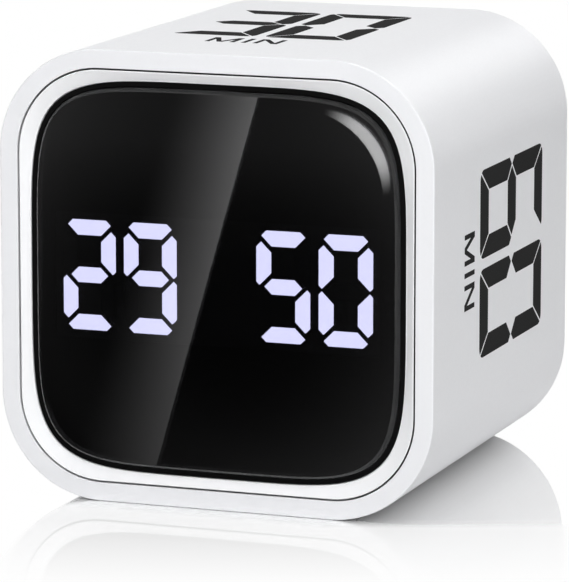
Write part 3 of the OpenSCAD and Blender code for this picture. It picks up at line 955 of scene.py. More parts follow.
@dataclass(frozen=True)
class HookFit:
    """Snap hooks of the bezel and the room that they need in the shell."""

    width: float = 9.0
    thickness: float = 1.3
    length: float = 7.0
    catch: float = 0.5
    catch_length: float = 2.2
    clearance: float = 0.2
    wall: float = 26.9

    @property
    def end(self) -> float:
        """Place of the hooks' ends along Y."""
        return NodeBox.of("front_bezel").high.y

    @property
    def root(self) -> float:
        """Place along Y where the bezel's skirt ends and seats on the shell's step."""
        return self.end - self.length

    def hook(self, root: float) -> Workpiece:
        """Models the hook on the right, with its sloping catch.

        Args:
            root: place along Y where the hook starts.

        Returns:
            The hook.
        """
        face = self.wall - self.clearance
        reach = Vector((self.clearance + self.catch, 0, 0))
        side = Vector((0, 0, self.width / 2))
        low = Vector((face - self.thickness, root, AXIS[1]))
        tip = Vector((face, self.end, AXIS[1]))
        piece = Workpiece.block("hook", low - side, tip + side)
        start = Vector((face - self.thickness / 2, self.end - self.catch_length, AXIS[1]))
        catch = Workpiece.block("catch", start - side, tip + reach + side)
        with catch.editing():
            catch.pick(
                Element.VERTEX,
                lambda vertex: vertex.co.x / MM > face + CLOSE and vertex.co.y / MM > self.end - CLOSE,
            )
            bpy.ops.transform.translate(value=-reach * MM)
        piece.combine(catch, Joining.ADD)
        return piece

    def pocket(self) -> Workpiece:
        """Makes the solid that cuts the room for the catch of the hook on the right.

        Returns:
            The solid to cut out.
        """
        half = self.width / 2 + self.clearance
        low = Vector((self.wall - OVER, self.end - self.catch_length - self.clearance, AXIS[1] - half))
        deep = self.wall + self.catch + self.clearance
        return Workpiece.block("pocket", low, Vector((deep, self.end + self.clearance, AXIS[1] + half)))


@dataclass
class Shell:
    """White sleeve: a tube with four large rounded edges, screw posts and pockets for the hooks."""

    corner: float = 14.0
    wall: float = 2.46
    step: float = 0.64
    rim_round: float = 0.2
    mouth_round: float = 0.08
    print_film: float = 0.012
    hooks: HookFit = field(default_factory=HookFit)
    rear_step: float = 3.0
    post_at: float = 22.15
    post_radius: float = 3.2
    post_length: float = 11.0
    post_hole: float = 1.0
    post_grip: float = 4.0
    corner_segments: int = 28
    round_segments: int = 5
    post_sides: int = 48
    hole_sides: int = 24

    @property
    def seat(self) -> float:
        """Place along Y of the step that the rear cover seats on."""
        return REAR - self.rear_step

    def round_rims(self, piece: Workpiece, outer: bool, width: float) -> None:
        """Rounds the outer or the inner edges of both rims.

        Args:
            piece: the shell.
            outer: whether it's the outer edges.
            width: radius of the rounding.
        """
        half = CASE.size.x / 2 - self.print_film
        middle = RoundedBox(half, half, self.corner).drawn_in(self.wall / 2)

        def on_rim(edge: bmesh.types.BMEdge) -> bool:
            """Tells whether an edge of the mesh is one of them.

            Args:
                edge: the edge of the mesh.

            Returns:
                True for an edge to round.
            """
            ends = [vertex.co for vertex in edge.verts]
            level = all(min(abs(p.y / MM - FRONT), abs(p.y / MM - REAR)) < CLOSE for p in ends)
            return level and all(middle.holds(p) is not outer for p in ends)

        piece.pick(Element.EDGE, on_rim)
        piece.bevel(width, self.round_segments)

    def sleeve(self) -> Workpiece:
        """Models the tube from a cube.

        Returns:
            The tube.
        """
        film = Vector((self.print_film, 0, self.print_film))
        piece = Workpiece.block("outer_sleeve", CASE.low + film, CASE.high - film)
        front_step = self.hooks.root - FRONT
        steps = (self.hooks.root, self.seat)

        def closes_tube(face: bmesh.types.BMFace) -> bool:
            """Tells whether a face closes the tube. Other level faces on the steps have four corners.

            Args:
                face: the face.

            Returns:
                True for a face to open.
            """
            depth = face.calc_center_median().y / MM
            on_step = min(abs(depth - step) for step in steps) < CLOSE
            return on_step and abs(face.normal.y) > SAME_WAY and len(face.verts) > 4

        with piece.editing():
            piece.pick_edges_along_depth()
            piece.bevel(self.corner, self.corner_segments)
            for way, rim, depth in ((-BACK, -FRONT, front_step), (BACK, REAR, self.rear_step)):
                piece.pick_cap(way, rim)
                piece.inset(self.wall)
                piece.extrude(-depth * way)
                piece.inset(self.step)
            piece.pick(Element.FACE, closes_tube)
            bpy.ops.mesh.bridge_edge_loops()
            piece.turn_outwards()
            self.round_rims(piece, True, self.rim_round)
            self.round_rims(piece, False, self.mouth_round)
        return piece

    def build(self) -> None:
        """Models the shell and puts it in the place of its CAD node."""
        piece = self.sleeve()
        places = corners(self.post_at)
        post = (self.seat - self.post_length, self.seat - CLOSE)
        piece.combine_all(pins("post", places, self.post_radius, post, self.post_sides), Joining.ADD)
        hole = (self.seat - self.post_grip, self.seat + OVER)
        holes = pins("hole", places, self.post_hole, hole, self.hole_sides)
        piece.combine_all([*holes, *on_four_sides(self.hooks.pocket)], Joining.CUT)
        install(piece.finish(), WHITE_PLASTIC, ["outer_shell"])


@dataclass
class Bezel:
    """White band that slopes from the seam to the lens, with the skirt that holds it in the shell."""

    half: float = 27.3
    corner: float = 11.3
    sink: float = 0.08
    land: float = 0.13
    edge_round: float = 0.12
    fall: float = 0.77
    inner_land: float = 0.13
    inner_round: float = 0.06
    pocket_half: float = 26.0
    pocket_power: float = 4.93
    plate: float = 1.6
    skirt: float = 1.6
    hooks: HookFit = field(default_factory=HookFit)
    window_fit: float = 0.05
    boss_at: float = 19.35
    boss_radius: float = 2.3
    boss_hole: float = 1.0
    boss_floor: float = 0.4
    seam_shade_slope: float = 0.3
    round_steps: int = 4
    sides: int = 192
    cavity_sides: int = 96
    boss_sides: int = 32
    hole_sides: int = 24

    @property
    def outline(self) -> RoundedBox:
        """Outer outline of the skirt."""
        return RoundedBox(self.half, self.half, self.corner)

    def sections(self) -> list[Section]:
        """Lists the outlines from the end of the skirt, over the band and into the lens pocket.

        Returns:
            Outlines and their places along Y.
        """
        outer, pocket = self.outline, Squircle(self.pocket_half, self.pocket_power)
        front, low = FRONT + self.sink, FRONT + self.fall
        rows = [(outer, self.hooks.root)]
        for cos, sin in quarter(self.round_steps):
            edge = outer.drawn_in(self.edge_round * (1 - cos))
            rows.append((edge, front + self.edge_round * (1 - sin)))
        rows.append((outer.drawn_in(self.land), front))
        rows.append((pocket.drawn_in(-self.inner_land), low))
        for cos, sin in quarter(self.round_steps):
            edge = pocket.drawn_in(-self.inner_round * (1 - sin))
            rows.append((edge, low + self.inner_round * (1 - cos)))
        rows.append((pocket, NodeBox.of("lens_tape").high.y))
        return rows

    def build(self) -> None:
        """Models the bezel and puts it in the place of its CAD node."""
        piece = Workpiece.loft("front_band", AXIS, self.sections(), self.sides)
        floor = NodeBox.of("lens_tape").high.y
        back = floor + self.plate
        inside = self.outline.drawn_in(self.skirt)
        cavity = [(inside, back), (inside, self.hooks.root + OVER)]
        piece.combine(Workpiece.loft("cavity", AXIS, cavity, self.cavity_sides), Joining.CUT)
        display = NodeBox.of("display_reflector")
        half = (display.size.x / 2 + self.window_fit, display.size.z / 2 + self.window_fit)
        window = Workpiece.bar("window", display.axis, half, (floor - OVER, back + OVER))
        piece.combine(window, Joining.CUT)
        board = NodeBox.of("display_board").low.y
        places = corners(self.boss_at)
        bosses = pins("boss", places, self.boss_radius, (back - OVERLAP, board), self.boss_sides)
        hooks = on_four_sides(lambda: self.hooks.hook(back - OVERLAP))
        piece.combine_all([*bosses, *hooks], Joining.ADD)
        hole = (back + self.boss_floor, board + OVER)
        piece.combine_all(pins("hole", places, self.boss_hole, hole, self.hole_sides), Joining.CUT)
        install(piece.finish(), LIT_BEZEL_WHITE, ["front_bezel"])
        middle = self.outline.drawn_in(self.skirt / 2)

        def is_shaded_skirt(face: bmesh.types.BMFace) -> bool:
            """Tells whether a face belongs to the outside of the skirt, which is painted dark as seam
            shade.
            """
            return abs(face.normal.y) < self.seam_shade_slope and not middle.holds(face.calc_center_median())

        # Painted shade: the skirt's outside is painted near black, which darkens the seam between bezel and
        # shell
        paint(piece, SEAM_SHADE_PAINT, is_shaded_skirt)


@dataclass
class Lens:
    """Smoked window: a flat face with a rounded edge, which stands on a low black border."""

    power: float = 4.93
    squarer: float = 0.27
    tape_gap: float = 0.03
    border_drop: float = 0.88
    border_width: float = 0.6
    edge_chamfer: float = 0.06
    edge_width: float = 0.6
    edge_slopes: Point = (62.0, 42.0)
    edge_steps: int = 8
    support: float = 0.1
    crease: float = 20.0
    sides: int = 192

    def outline(self, drawn_in: float) -> Squircle:
        """Gives the lens's outline drawn in, with corners that keep their distance from its edge."""
        half = NodeBox.of("front_lens").high.x
        return Squircle(half - drawn_in, self.power + self.squarer * drawn_in)

    @property
    def sunk(self) -> float:
        """Depth of the face behind the front of the case."""
        return self.border_drop - self.edge_profile()[0][1]

    def edge_profile(self) -> list[Point]:
        """Lists the points of the face's edge, whose slope eases from its foot to the face.

        Returns:
            How far each point lies inside the foot, and its depth behind the face.
        """
        steep, easy = self.edge_slopes
        run = self.edge_width / self.edge_steps
        rises = []
        for k in range(self.edge_steps):
            slope = steep + (easy - steep) * (k + 0.5) / self.edge_steps
            rises.append(run * math.tan(math.radians(slope)))
        return [(run * k, sum(rises[k:])) for k in range(self.edge_steps + 1)]

    def sections(self, cad: NodeBox) -> list[Section]:
        """Lists the outlines from the back of the lens, over its border and up to its face.

        Args:
            cad: box of its CAD node.

        Returns:
            Outlines and their places along Y.
        """
        depths = [
            (0, cad.size.y - self.tape_gap),
            (0, self.border_drop + self.edge_chamfer),
            (self.edge_chamfer, self.border_drop),
        ]
        depths += [(self.border_width + inward, self.sunk + depth) for inward, depth in self.edge_profile()]
        depths.append((self.border_width + self.edge_width + self.support, self.sunk))
        return [(self.outline(drawn_in), cad.low.y + depth) for drawn_in, depth in depths]

    def build(self) -> None:
        """Models the lens and puts it in the place of its CAD node."""
        foot = self.outline(self.border_width)

        def is_border(face: bmesh.types.BMFace) -> bool:
            """Tells whether a face belongs to the border or to the lens's side."""
            looks_back = face.normal.y > 0.5
            return not looks_back and not foot.holds(face.calc_center_median())

        rows = self.sections(NodeBox.of("front_lens"))
        piece = Workpiece.loft("smoked_window", AXIS, rows, self.sides)
        install(piece.finish(self.crease), LensFinish(), ["front_lens"])
        paint(piece, LENS_BORDER, is_border)


@dataclass
class RearCover:
    """White plate in the back of the shell, with its bosses, its screw seats and its openings."""

    corner: float = 11.3
    thickness: float = 2.4
    edge_round: float = 0.2
    mouth_round: float = 0.15
    boss_at: float = 16.0
    boss_radius: float = 2.3
    boss_hole: float = 1.0
    boss_grip: float = 4.0
    screw_at: float = 22.15
    head_radius: float = 1.95
    head_height: float = 1.2
    shank_radius: float = 1.05
    sound_z: float = 39.0
    sound_radius: float = 0.6
    sound_pitch: float = 2.2
    slot: Point = (3.9, 1.65)
    slot_corner: float = 0.95
    button_hole: float = 3.55
    socket_hole: Point = (4.62, 1.78)
    corner_segments: int = 24
    round_segments: int = 3
    seat_sides: int = 48
    opening_sides: int = 64
    sound_sides: int = 32
    boss_sides: int = 32
    hole_sides: int = 24

    def opening(self, at: Point, outline: Outline, sides: int) -> Workpiece:
        """Makes the solid that cuts an opening with a rounded mouth.

        Args:
            at: X and Z of the opening.
            outline: the opening's outline.
            sides: points on the outline.

        Returns:
            The solid to cut out.
        """
        face = NodeBox.of("rear_cover").high.y
        rows = [(outline, face - self.thickness - OVER)]
        for cos, sin in quarter(self.round_segments):
            mouth = outline.drawn_in(-self.mouth_round * (1 - cos))
            rows.append((mouth, face - self.mouth_round * (1 - sin)))
        rows.append((outline.drawn_in(-self.mouth_round), face + OVER))
        return Workpiece.loft("opening", at, rows, sides)

    def screw_seat(self, at: Point) -> Workpiece:
        """Makes the solid that cuts the seat and the hole of a flat-head screw.

        Args:
            at: X and Z of the screw.

        Returns:
            The solid to cut out.
        """
        face = NodeBox.of("rear_cover").high.y
        rows = [
            (Round(self.shank_radius), face - self.thickness - OVER),
            (Round(self.shank_radius), face - self.head_height),
            (Round(self.head_radius), face),
            (Round(self.head_radius), face + OVER),
        ]
        return Workpiece.loft("screw_seat", at, rows, self.seat_sides)

    def openings(self) -> list[Workpiece]:
        """Makes the solids that cut all openings.

        Returns:
            The solids to cut out.
        """
        cuts = [self.screw_seat(at) for at in corners(self.screw_at)]
        controls = {
            "mode_knob": RoundedBox(*self.slot, self.slot_corner),
            "set_button": Round(self.button_hole),
            "usb_shell": RoundedBox(*self.socket_hole, self.socket_hole[1]),
        }
        for node, outline in controls.items():
            cuts.append(self.opening(NodeBox.of(node).axis, outline, self.opening_sides))
        sixths = [math.pi / 3 * k for k in range(6)]
        ring = [(self.sound_pitch * math.cos(a), self.sound_pitch * math.sin(a)) for a in sixths]
        for x, z in [(0.0, 0.0), *ring]:
            cuts.append(self.opening((x, self.sound_z + z), Round(self.sound_radius), self.sound_sides))
        return cuts

    def build(self) -> None:
        """Models the cover and puts it in the place of its CAD node."""
        cad = NodeBox.of("rear_cover")
        start, inner = cad.low.y, cad.high.y - self.thickness
        piece = Workpiece.block("back_plate", Vector((cad.low.x, inner, cad.low.z)), cad.high)
        with piece.editing():
            piece.pick_edges_along_depth()
            piece.bevel(self.corner, self.corner_segments)
            piece.pick_edges_at(cad.high.y)
            piece.bevel(self.edge_round, self.round_segments)
        places = corners(self.boss_at)
        bosses = pins("boss", places, self.boss_radius, (start, inner + OVERLAP), self.boss_sides)
        piece.combine_all(bosses, Joining.ADD)
        hole = (start - OVER, start + self.boss_grip)
        holes = pins("hole", places, self.boss_hole, hole, self.hole_sides)
        piece.combine_all([*holes, *self.openings()], Joining.CUT)
        install(piece.finish(), WHITE_PLASTIC, ["rear_cover"])


@dataclass
class RearScrews:
    """Four flat-head screws with a cross recess."""

    at: float = 22.15
    head_radius: float = 1.9
    head_height: float = 1.2
    shank_radius: float = 0.95
    tip_radius: float = 0.65
    tip_length: float = 0.5
    edge: float = 0.08
    recess_length: float = 2.3
    recess_width: float = 0.55
    recess_depth: float = 0.6
    recess_turns: Point = (45.0, 135.0)
    sides: int = 48

    def model(self, at: Point) -> Workpiece:
        """Models one screw.

        Args:
            at: X and Z of the screw.

        Returns:
            The screw.
        """
        cad = NodeBox.of("rear_screws")
        face = cad.high.y
        rows = [
            (Round(self.tip_radius), cad.low.y),
            (Round(self.shank_radius), cad.low.y + self.tip_length),
            (Round(self.shank_radius), face - self.head_height),
            (Round(self.head_radius), face - self.edge),
            (Round(self.head_radius - self.edge), face),
        ]
        screw = Workpiece.loft("rear_screw_1", at, rows, self.sides)
        half = (self.recess_length / 2, self.recess_width / 2)
        for degrees in self.recess_turns:
            recess = Workpiece.bar("recess", at, half, (face - self.recess_depth, face + OVER))
            recess.turn(degrees, at)
            screw.combine(recess, Joining.CUT)
        return screw

    def build(self) -> None:
        """Models one screw, copies it to the other corners and installs all four."""
        places = corners(self.at)
        first = self.model(places[0])
        screws = [first]
        for number, (x, z) in enumerate(places[1:], start=2):
            shift = Vector((x - places[0][0], 0, z - places[0][1]))
            screws.append(first.copy(f"rear_screw_{number}", shift))
        for screw in screws:
            install(screw.finish(), PLATED_STEEL, ["rear_screws"])


@dataclass
class SlideKnob:
    """Ribbed knob of the slide switch, with the flange that keeps it in its slot."""

    length: float = 4.5
    height: float = 3.0
    corner: float = 0.8
    top_round: float = 0.2
    flange: float = 0.9
    groove_count: int = 4
    groove_width: float = 0.4
    groove_depth: float = 0.25
    pocket: float = 1.6
    pocket_depth: float = 1.05
    corner_segments: int = 8
    round_segments: int = 4

    def build(self) -> None:
        """Models the knob and puts it in the place of its CAD node."""
        cad = NodeBox.of("mode_knob")
        (x, z), low, top = cad.axis, cad.low.y, cad.high.y
        half = (self.length / 2, self.height / 2)
        piece = Workpiece.bar("slide_knob", (x, z), half, (low + OVERLAP, top))
        with piece.editing():
            piece.pick_edges_along_depth()
            piece.bevel(self.corner, self.corner_segments)
            piece.pick_edges_at(top)
            piece.bevel(self.top_round, self.round_segments)
        half = (self.groove_width / 2, self.height)
        for k in range(1, self.groove_count + 1):
            at = x + self.length * (k / (self.groove_count + 1) - 0.5)
            groove = Workpiece.bar("groove", (at, z), half, (top - self.groove_depth, top + OVER))
            piece.combine(groove, Joining.CUT)
        flange_top = Vector((cad.high.x, low + self.flange, cad.high.z))
        piece.combine(Workpiece.block("flange", cad.low, flange_top), Joining.ADD)
        half = (self.pocket / 2, self.pocket / 2)
        pocket = Workpiece.bar("pocket", (x, z), half, (low - OVER, low + self.pocket_depth))
        piece.combine(pocket, Joining.CUT)
        install(piece.finish(), CONTROL_GREY, ["mode_knob"], "mode_slider")


@dataclass
class PushButton:
    """Round button with a dished face, a flange that keeps it in its hole and a stem to its switch."""

    radius: float = 3.4
    stem_radius: float = 1.8
    stem: float = 0.7
    flange: float = 0.9
    edge_round: float = 0.3
    dish_radius: float = 2.7
    dish: float = 0.18
    round_steps: int = 5
    dish_rings: int = 9
    sides: int = 64

    def build(self) -> None:
        """Models the button and puts it in the place of its CAD node."""
        cad = NodeBox.of("set_button")
        low, top = cad.low.y, cad.high.y
        flange_radius = cad.size.x / 2
        rows = [
            (Round(self.stem_radius), low),
            (Round(self.stem_radius), low + self.stem),
            (Round(flange_radius), low + self.stem),
            (Round(flange_radius), low + self.stem + self.flange),
            (Round(self.radius), low + self.stem + self.flange),
        ]
        for cos, sin in quarter(self.round_steps):
            edge = Round(self.radius - self.edge_round * (1 - cos))
            rows.append((edge, top - self.edge_round * (1 - sin)))
        for k in range(self.dish_rings):
            share = 1 - k / self.dish_rings
            rows.append((Round(self.dish_radius * share), top - self.dish * (1 - share**2)))
        piece = Workpiece.loft("push_button", cad.axis, rows, self.sides)
        install(piece.finish(), CONTROL_GREY, ["set_button"], "button")


@dataclass
class ChargingSocket:
    """Drawn metal shell of the charging socket, and the tongue with its contacts."""

    metal: float = 0.3
    lip: float = 0.1
    base: float = 2.2
    base_gap: float = 0.05
    tongue: Point = (6.7, 0.7)
    tongue_round: float = 0.15
    round_segments: int = 3
    sides: int = 64

    def build_shell(self, cad: NodeBox, rim: RoundedBox) -> None:
        """Models the metal shell.

        Args:
            cad: box of its CAD node.
            rim: its outline.
        """
        rows = [(rim, cad.low.y)]
        for cos, sin in quarter(self.round_segments):
            rows.append((rim.drawn_in(self.lip * (1 - cos)), cad.high.y - self.lip * (1 - sin)))
        piece = Workpiece.loft("socket_shell", cad.axis, rows, self.sides)
        inside = rim.drawn_in(self.metal)
        bore = [(inside, cad.low.y - OVER), (inside, cad.high.y + OVER)]
        piece.combine(Workpiece.loft("bore", cad.axis, bore, self.sides), Joining.CUT)
        install(piece.finish(), DRAWN_STEEL, ["usb_shell"])

    def build_tongue(self, axis: Point, rim: RoundedBox) -> None:
        """Models the tongue on its insulating base.

        Args:
            axis: X and Z of the socket's axis.
            rim: outline of the metal shell.
        """
        cad = NodeBox.of("usb_tongue")
        root = cad.low.y + self.base
        block = rim.drawn_in(self.metal + self.base_gap)
        rows = [(block, cad.low.y), (block, root)]
        piece = Workpiece.loft("socket_tongue", axis, rows, self.sides)
        half = (self.tongue[0] / 2, self.tongue[1] / 2)
        blade = Workpiece.bar("blade", axis, half, (root - OVERLAP, cad.high.y))
        with blade.editing():
            blade.pick_edges_at(cad.high.y)
            blade.bevel(self.tongue_round, self.round_segments)
        piece.combine(blade, Joining.ADD)
        install(piece.finish(), BLACK_PLASTIC, ["usb_tongue"])

        def has_contacts(face: bmesh.types.BMFace) -> bool:
            """Tells whether a face lies on top of the blade or underneath."""
            return abs(face.normal.z) > 0.9 and face.calc_center_median().y / MM > root

        paint(piece, TONGUE, has_contacts)

    def build(self) -> None:
        """Models both pieces and puts them in the places of their CAD nodes."""
        cad = NodeBox.of("usb_shell")
        high = cad.size.z / 2
        rim = RoundedBox(cad.size.x / 2, high, high)
        self.build_shell(cad, rim)
        self.build_tongue(cad.axis, rim)


class CubeFace(Enum):
    """Long faces of the cube, each with the direction in which its print reads."""

    TOP = (1.0, 0.0, 0.0)
    RIGHT = (0.0, 0.0, -1.0)
    BOTTOM = (-1.0, 0.0, 0.0)
    LEFT = (0.0, 0.0, 1.0)


STROKES = {"0": "abcdef", "1": "bc", "3": "abgcd", "5": "afgcd", "6": "afgecd"}


@dataclass(frozen=True)
class DigitShape:
    """Seven-stroke digit with mitred strokes, drawn about the middle of its cell."""

    width: float = 11.85
    height: float = 27.95
    upright: float = 2.9
    lying: float = 3.7
    gap: float = 0.3
    inner_gap: float = 0.18
    corner: float = 1.5
    tip: float = 0.95
    waist: float = 0.3
    arc_steps: int = 3

    def arc(self, first: float, last: float) -> list[Point]:
        """Lists points on the arc of the upper right corner.

        Args:
            first: direction of the first point, in degrees.
            last: direction of the last point, in degrees.

        Returns:
            The points.
        """
        step = (last - first) / self.arc_steps
        angles = [math.radians(first + step * k) for k in range(self.arc_steps + 1)]
        x, y = self.width / 2 - self.corner, self.height / 2 - self.corner
        return [(x + self.corner * math.cos(a), y + self.corner * math.sin(a)) for a in angles]

    def mitre(self) -> float:
        """Gives the half angle, in degrees, that the mitre's gap takes of the corner's arc."""
        return math.degrees(self.gap / 2 / self.corner)

    def top(self) -> list[Point]:
        """Outlines the stroke across the top.

        Returns:
            Points of its outline.
        """
        inner = (self.width / 2 - self.upright - self.inner_gap, self.height / 2 - self.lying)
        half = [*self.arc(90, 45 + self.mitre()), inner]
        return half + [(-x, y) for x, y in reversed(half)]

    def upper_right(self) -> list[Point]:
        """Outlines the upright stroke at the upper right.

        Returns:
            Points of its outline.
        """
        right, left = self.width / 2, self.width / 2 - self.upright
        low = self.waist / 2
        return [
            *self.arc(45 - self.mitre(), 0),
            (right, low + self.tip),
            (right - self.tip, low),
            (left, low + self.upright - self.tip),
            (left, self.height / 2 - self.lying - self.inner_gap),
        ]

    def middle(self) -> list[Point]:
        """Outlines the stroke across the waist.

        Returns:
            Points of its outline.
        """
        half = self.lying / 2
        tip = self.width / 2 - self.tip - self.gap
        upper = [(tip, 0), (tip - half, half), (half - tip, half)]
        return upper + [(-x, -y) for x, y in upper]

    def outline(self, stroke: str) -> list[Point]:
        """Outlines one of the strokes a to g.

        Args:
            stroke: letter of the stroke.

        Returns:
            Points of its outline.
        """
        if stroke == "g":
            return self.middle()
        shape = self.top() if stroke in "ad" else self.upper_right()
        mirror_x = -1 if stroke in "ef" else 1
        mirror_y = -1 if stroke in "cde" else 1
        return [(x * mirror_x, y * mirror_y) for x, y in shape]


@dataclass(frozen=True)
class LetterShape:
    """Plain capitals of the word MIN, drawn from their lower left corner."""

    height: float = 4.3
    stroke: float = 0.66
    wide: float = 4.1
    narrow: float = 3.4

    def slant(self, run: float) -> float:
        """Gives the level width of a slanting stroke.

        Args:
            run: how far the stroke runs sideways over the letter's height.

        Returns:
            Its width along a level line.
        """
        return self.stroke * math.hypot(run, self.height) / self.height

    def m(self) -> list[Point]:
        """Outlines the letter M, whose middle reaches the base line.

        Returns:
            Points of its outline.
        """
        wide, high, bar = self.wide, self.height, self.stroke
        cut = self.slant(wide / 2)
        run = (wide - cut) / 2
        shoulder = high * (1 - bar / run)
        notch = high * cut / 2 / run
        left = [(0, high), (0, 0), (bar, 0), (bar, shoulder), (run, 0)]
        right = [(wide - x, y) for x, y in reversed(left)]
        return [*left, *right, (wide - cut, high), (wide / 2, notch), (cut, high)]

    def i(self) -> list[Point]:
        """Outlines the letter I."""
        return [(0, 0), (self.stroke, 0), (self.stroke, self.height), (0, self.height)]

    def n(self) -> list[Point]:
        """Outlines the letter N.

        Returns:
            Points of its outline.
        """
        wide, high, bar = self.narrow, self.height, self.stroke
        cut = self.slant(wide)
        shoulder = high * (1 - bar / (wide - cut))
        left = [(0, high), (0, 0), (bar, 0), (bar, shoulder), (wide - cut, 0)]
        return [*left, *[(wide - x, high - y) for x, y in left]]


@dataclass(frozen=True)
class NumberPrint:
    """Number of minutes printed on one long face, with the word MIN before it."""

    face: CubeFace
    number: str
    digit: DigitShape = field(default_factory=DigitShape)
    letter: LetterShape = field(default_factory=LetterShape)
    middle: float = -1.06
    pitch: float = 13.25
    base_line: float = 19.4
    word_start: float = -6.1
    word_end: float = 4.0
    word_line: float = 12.8
    thickness: float = 0.02

    def outlines(self) -> list[list[Point]]:
        """Outlines all strokes and letters, along the reading direction and away from the front rim.

        Returns:
            One outline for each stroke and letter.
        """
        shapes = []
        for k, figure in enumerate(self.number):
            x = self.middle + self.pitch * (k - (len(self.number) - 1) / 2)
            y = self.base_line + self.digit.height / 2
            for stroke in STROKES[figure]:
                shapes.append([(x + px, y + py) for px, py in self.digit.outline(stroke)])
        last = self.word_end - self.letter.narrow
        between = (self.word_start + self.letter.wide + last - self.letter.stroke) / 2
        letters = (self.letter.m(), self.letter.i(), self.letter.n())
        for start, shape in zip((self.word_start, between, last), letters):
            shapes.append([(start + px, self.word_line + py) for px, py in shape])
        return shapes

    def build(self) -> None:
        """Draws the print as a flat curve, makes it a thin film and lays it on its face."""
        name = f"print_{self.number}_{self.face.name.lower()}"
        curve = bpy.data.curves.new(name, "CURVE")
        curve.dimensions = "2D"
        curve.fill_mode = "BOTH"
        curve.extrude = self.thickness / 2 * MM
        for shape in self.outlines():
            spline = curve.splines.new("POLY")
            spline.points.add(len(shape) - 1)
            for point, (x, y) in zip(spline.points, shape):
                point.co = (x * MM, y * MM, 0, 1)
            spline.use_cyclic_u = True
        obj = bpy.data.objects.new(name, curve)
        bpy.context.scene.collection.objects.link(obj)
        select_only(obj)
        bpy.ops.object.convert(target="MESH")
        reading = Vector(self.face.value)
        outward = reading.cross(BACK)
        centre = Vector((AXIS[0], FRONT, AXIS[1]))
        place = centre + outward * (CASE.size.z / 2 - self.thickness / 2)
        turn = Matrix((reading, BACK, outward)).transposed().to_4x4()
        obj.matrix_world = Matrix.Translation(place * MM) @ turn
        piece = Workpiece(name)
        with piece.editing():
            bpy.ops.mesh.select_all(action="SELECT")
            bpy.ops.mesh.remove_doubles(threshold=CLOSE * MM)
            piece.turn_outwards()
        install(obj, PRINT_INK)


PRINTS = (
    NumberPrint(CubeFace.TOP, "30"),
    NumberPrint(CubeFace.RIGHT, "60"),
    NumberPrint(CubeFace.BOTTOM, "5"),
    NumberPrint(CubeFace.LEFT, "15"),
)

INNER_FINISHES = {
    BLACK_FILM: ("lens_tape",),
    BLACK_PLASTIC: (
        "display_reflector", "slide_switch_lever", "tact_switch_body", "tact_switch_plunger", "buzzer",
    ),
    LIT_DIFFUSER: ("lit_segments",),
    UNLIT_DIFFUSER: ("unlit_segments",),
    LAMP_RESIN: ("segment_leds",),
    BOARD_MASK: ("display_board", "main_board"),
    CHIP_EPOXY: ("display_driver", "controller_chip", "gravity_sensor", "charger_chip"),
    PLATED_STEEL: ("display_screws", "main_board_screws", "clock_crystal"),
    DRAWN_STEEL: ("slide_switch_body", "vibration_motor"),
    IVORY_NYLON: ("display_ribbon_socket", "main_ribbon_socket", "battery_socket", "battery_plug"),
    RIBBON_FILM: ("display_ribbon",),
    GREY_FOAM: ("buzzer_seal",),
    CELL_FOIL: ("battery_cell",),
    AMBER_TAPE: ("battery_tape",),
    RED_LEAD: ("battery_lead_red",),
    BLACK_LEAD: ("battery_lead_black",),
}


def dress_inner_pieces() -> None:
    """Gives each CAD node that stays in the scene its finish."""
    for finish, names in INNER_FINISHES.items():
        for name in names:
            for material_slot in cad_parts[name].material_slots:
                material_slot.material = material_of(finish)
            log.info("%s: %s", name, finish.name)


def direction(azimuth: float, elevation: float) -> Vector:
    """Gives the unit vector from the cube towards a point of view.

    Args:
        azimuth: angle in degrees from the front, towards the right.
        elevation: angle in degrees above the table.

    Returns:
        The vector.
    """
    turn, tilt = math.radians(azimuth), math.radians(elevation)
    return Vector((math.sin(turn) * math.cos(tilt), -math.cos(turn) * math.cos(tilt), math.sin(tilt)))


def add_looking(data: bpy.types.ID, place: Vector, azimuth: float, elevation: float) -> bpy.types.Object:
    """Adds a camera or a lamp that looks from one direction.

    Args:
        data: the camera or the lamp.
        place: where it stands.
        azimuth: angle in degrees from the front, towards the right.
        elevation: angle in degrees above the table.

    Returns:
        The new object.
    """
    obj = bpy.data.objects.new(data.name, data)
    obj.location = place * MM
    obj.rotation_euler = (math.pi / 2 - math.radians(elevation), 0, math.radians(azimuth))
    bpy.context.scene.collection.objects.link(obj)
    return obj


@dataclass
class PortraitCamera:
    """Camera of the portrait: a long lens a little above the cube and to the right of its display."""

    azimuth: float = 20.056
    elevation: float = 10.304
    distance: float = 571.128
    aim_right: float = 9.181
    aim_up: float = -0.841
    focal_pixels: float = 4409.4
    image_height: float = 582.0
    sensor: float = 36.0
    nearest: float = 10.0

    @property
    def place(self) -> Vector:
        """Place of the camera."""
        turn = math.radians(self.azimuth)
        right = Vector((math.cos(turn), math.sin(turn), 0))
        away = direction(self.azimuth, self.elevation)
        start = Vector((AXIS[0], FRONT, AXIS[1]))
        return start + self.aim_right * right + self.aim_up * away.cross(right) + self.distance * away

    def build(self) -> None:
        """Adds the camera and makes it the scene's."""
        data = bpy.data.cameras.new("portrait")
        data.sensor_width = self.sensor
        data.lens = self.focal_pixels / self.image_height * self.sensor
        data.clip_start = self.nearest * MM
        bpy.context.scene.camera = add_looking(data, self.place, self.azimuth, self.elevation)


class LampUse(Enum):
    """What a lamp is for: to light surfaces, or to be mirrored in them."""

    LIGHT = "diffuse"
    GLINT = "glossy"


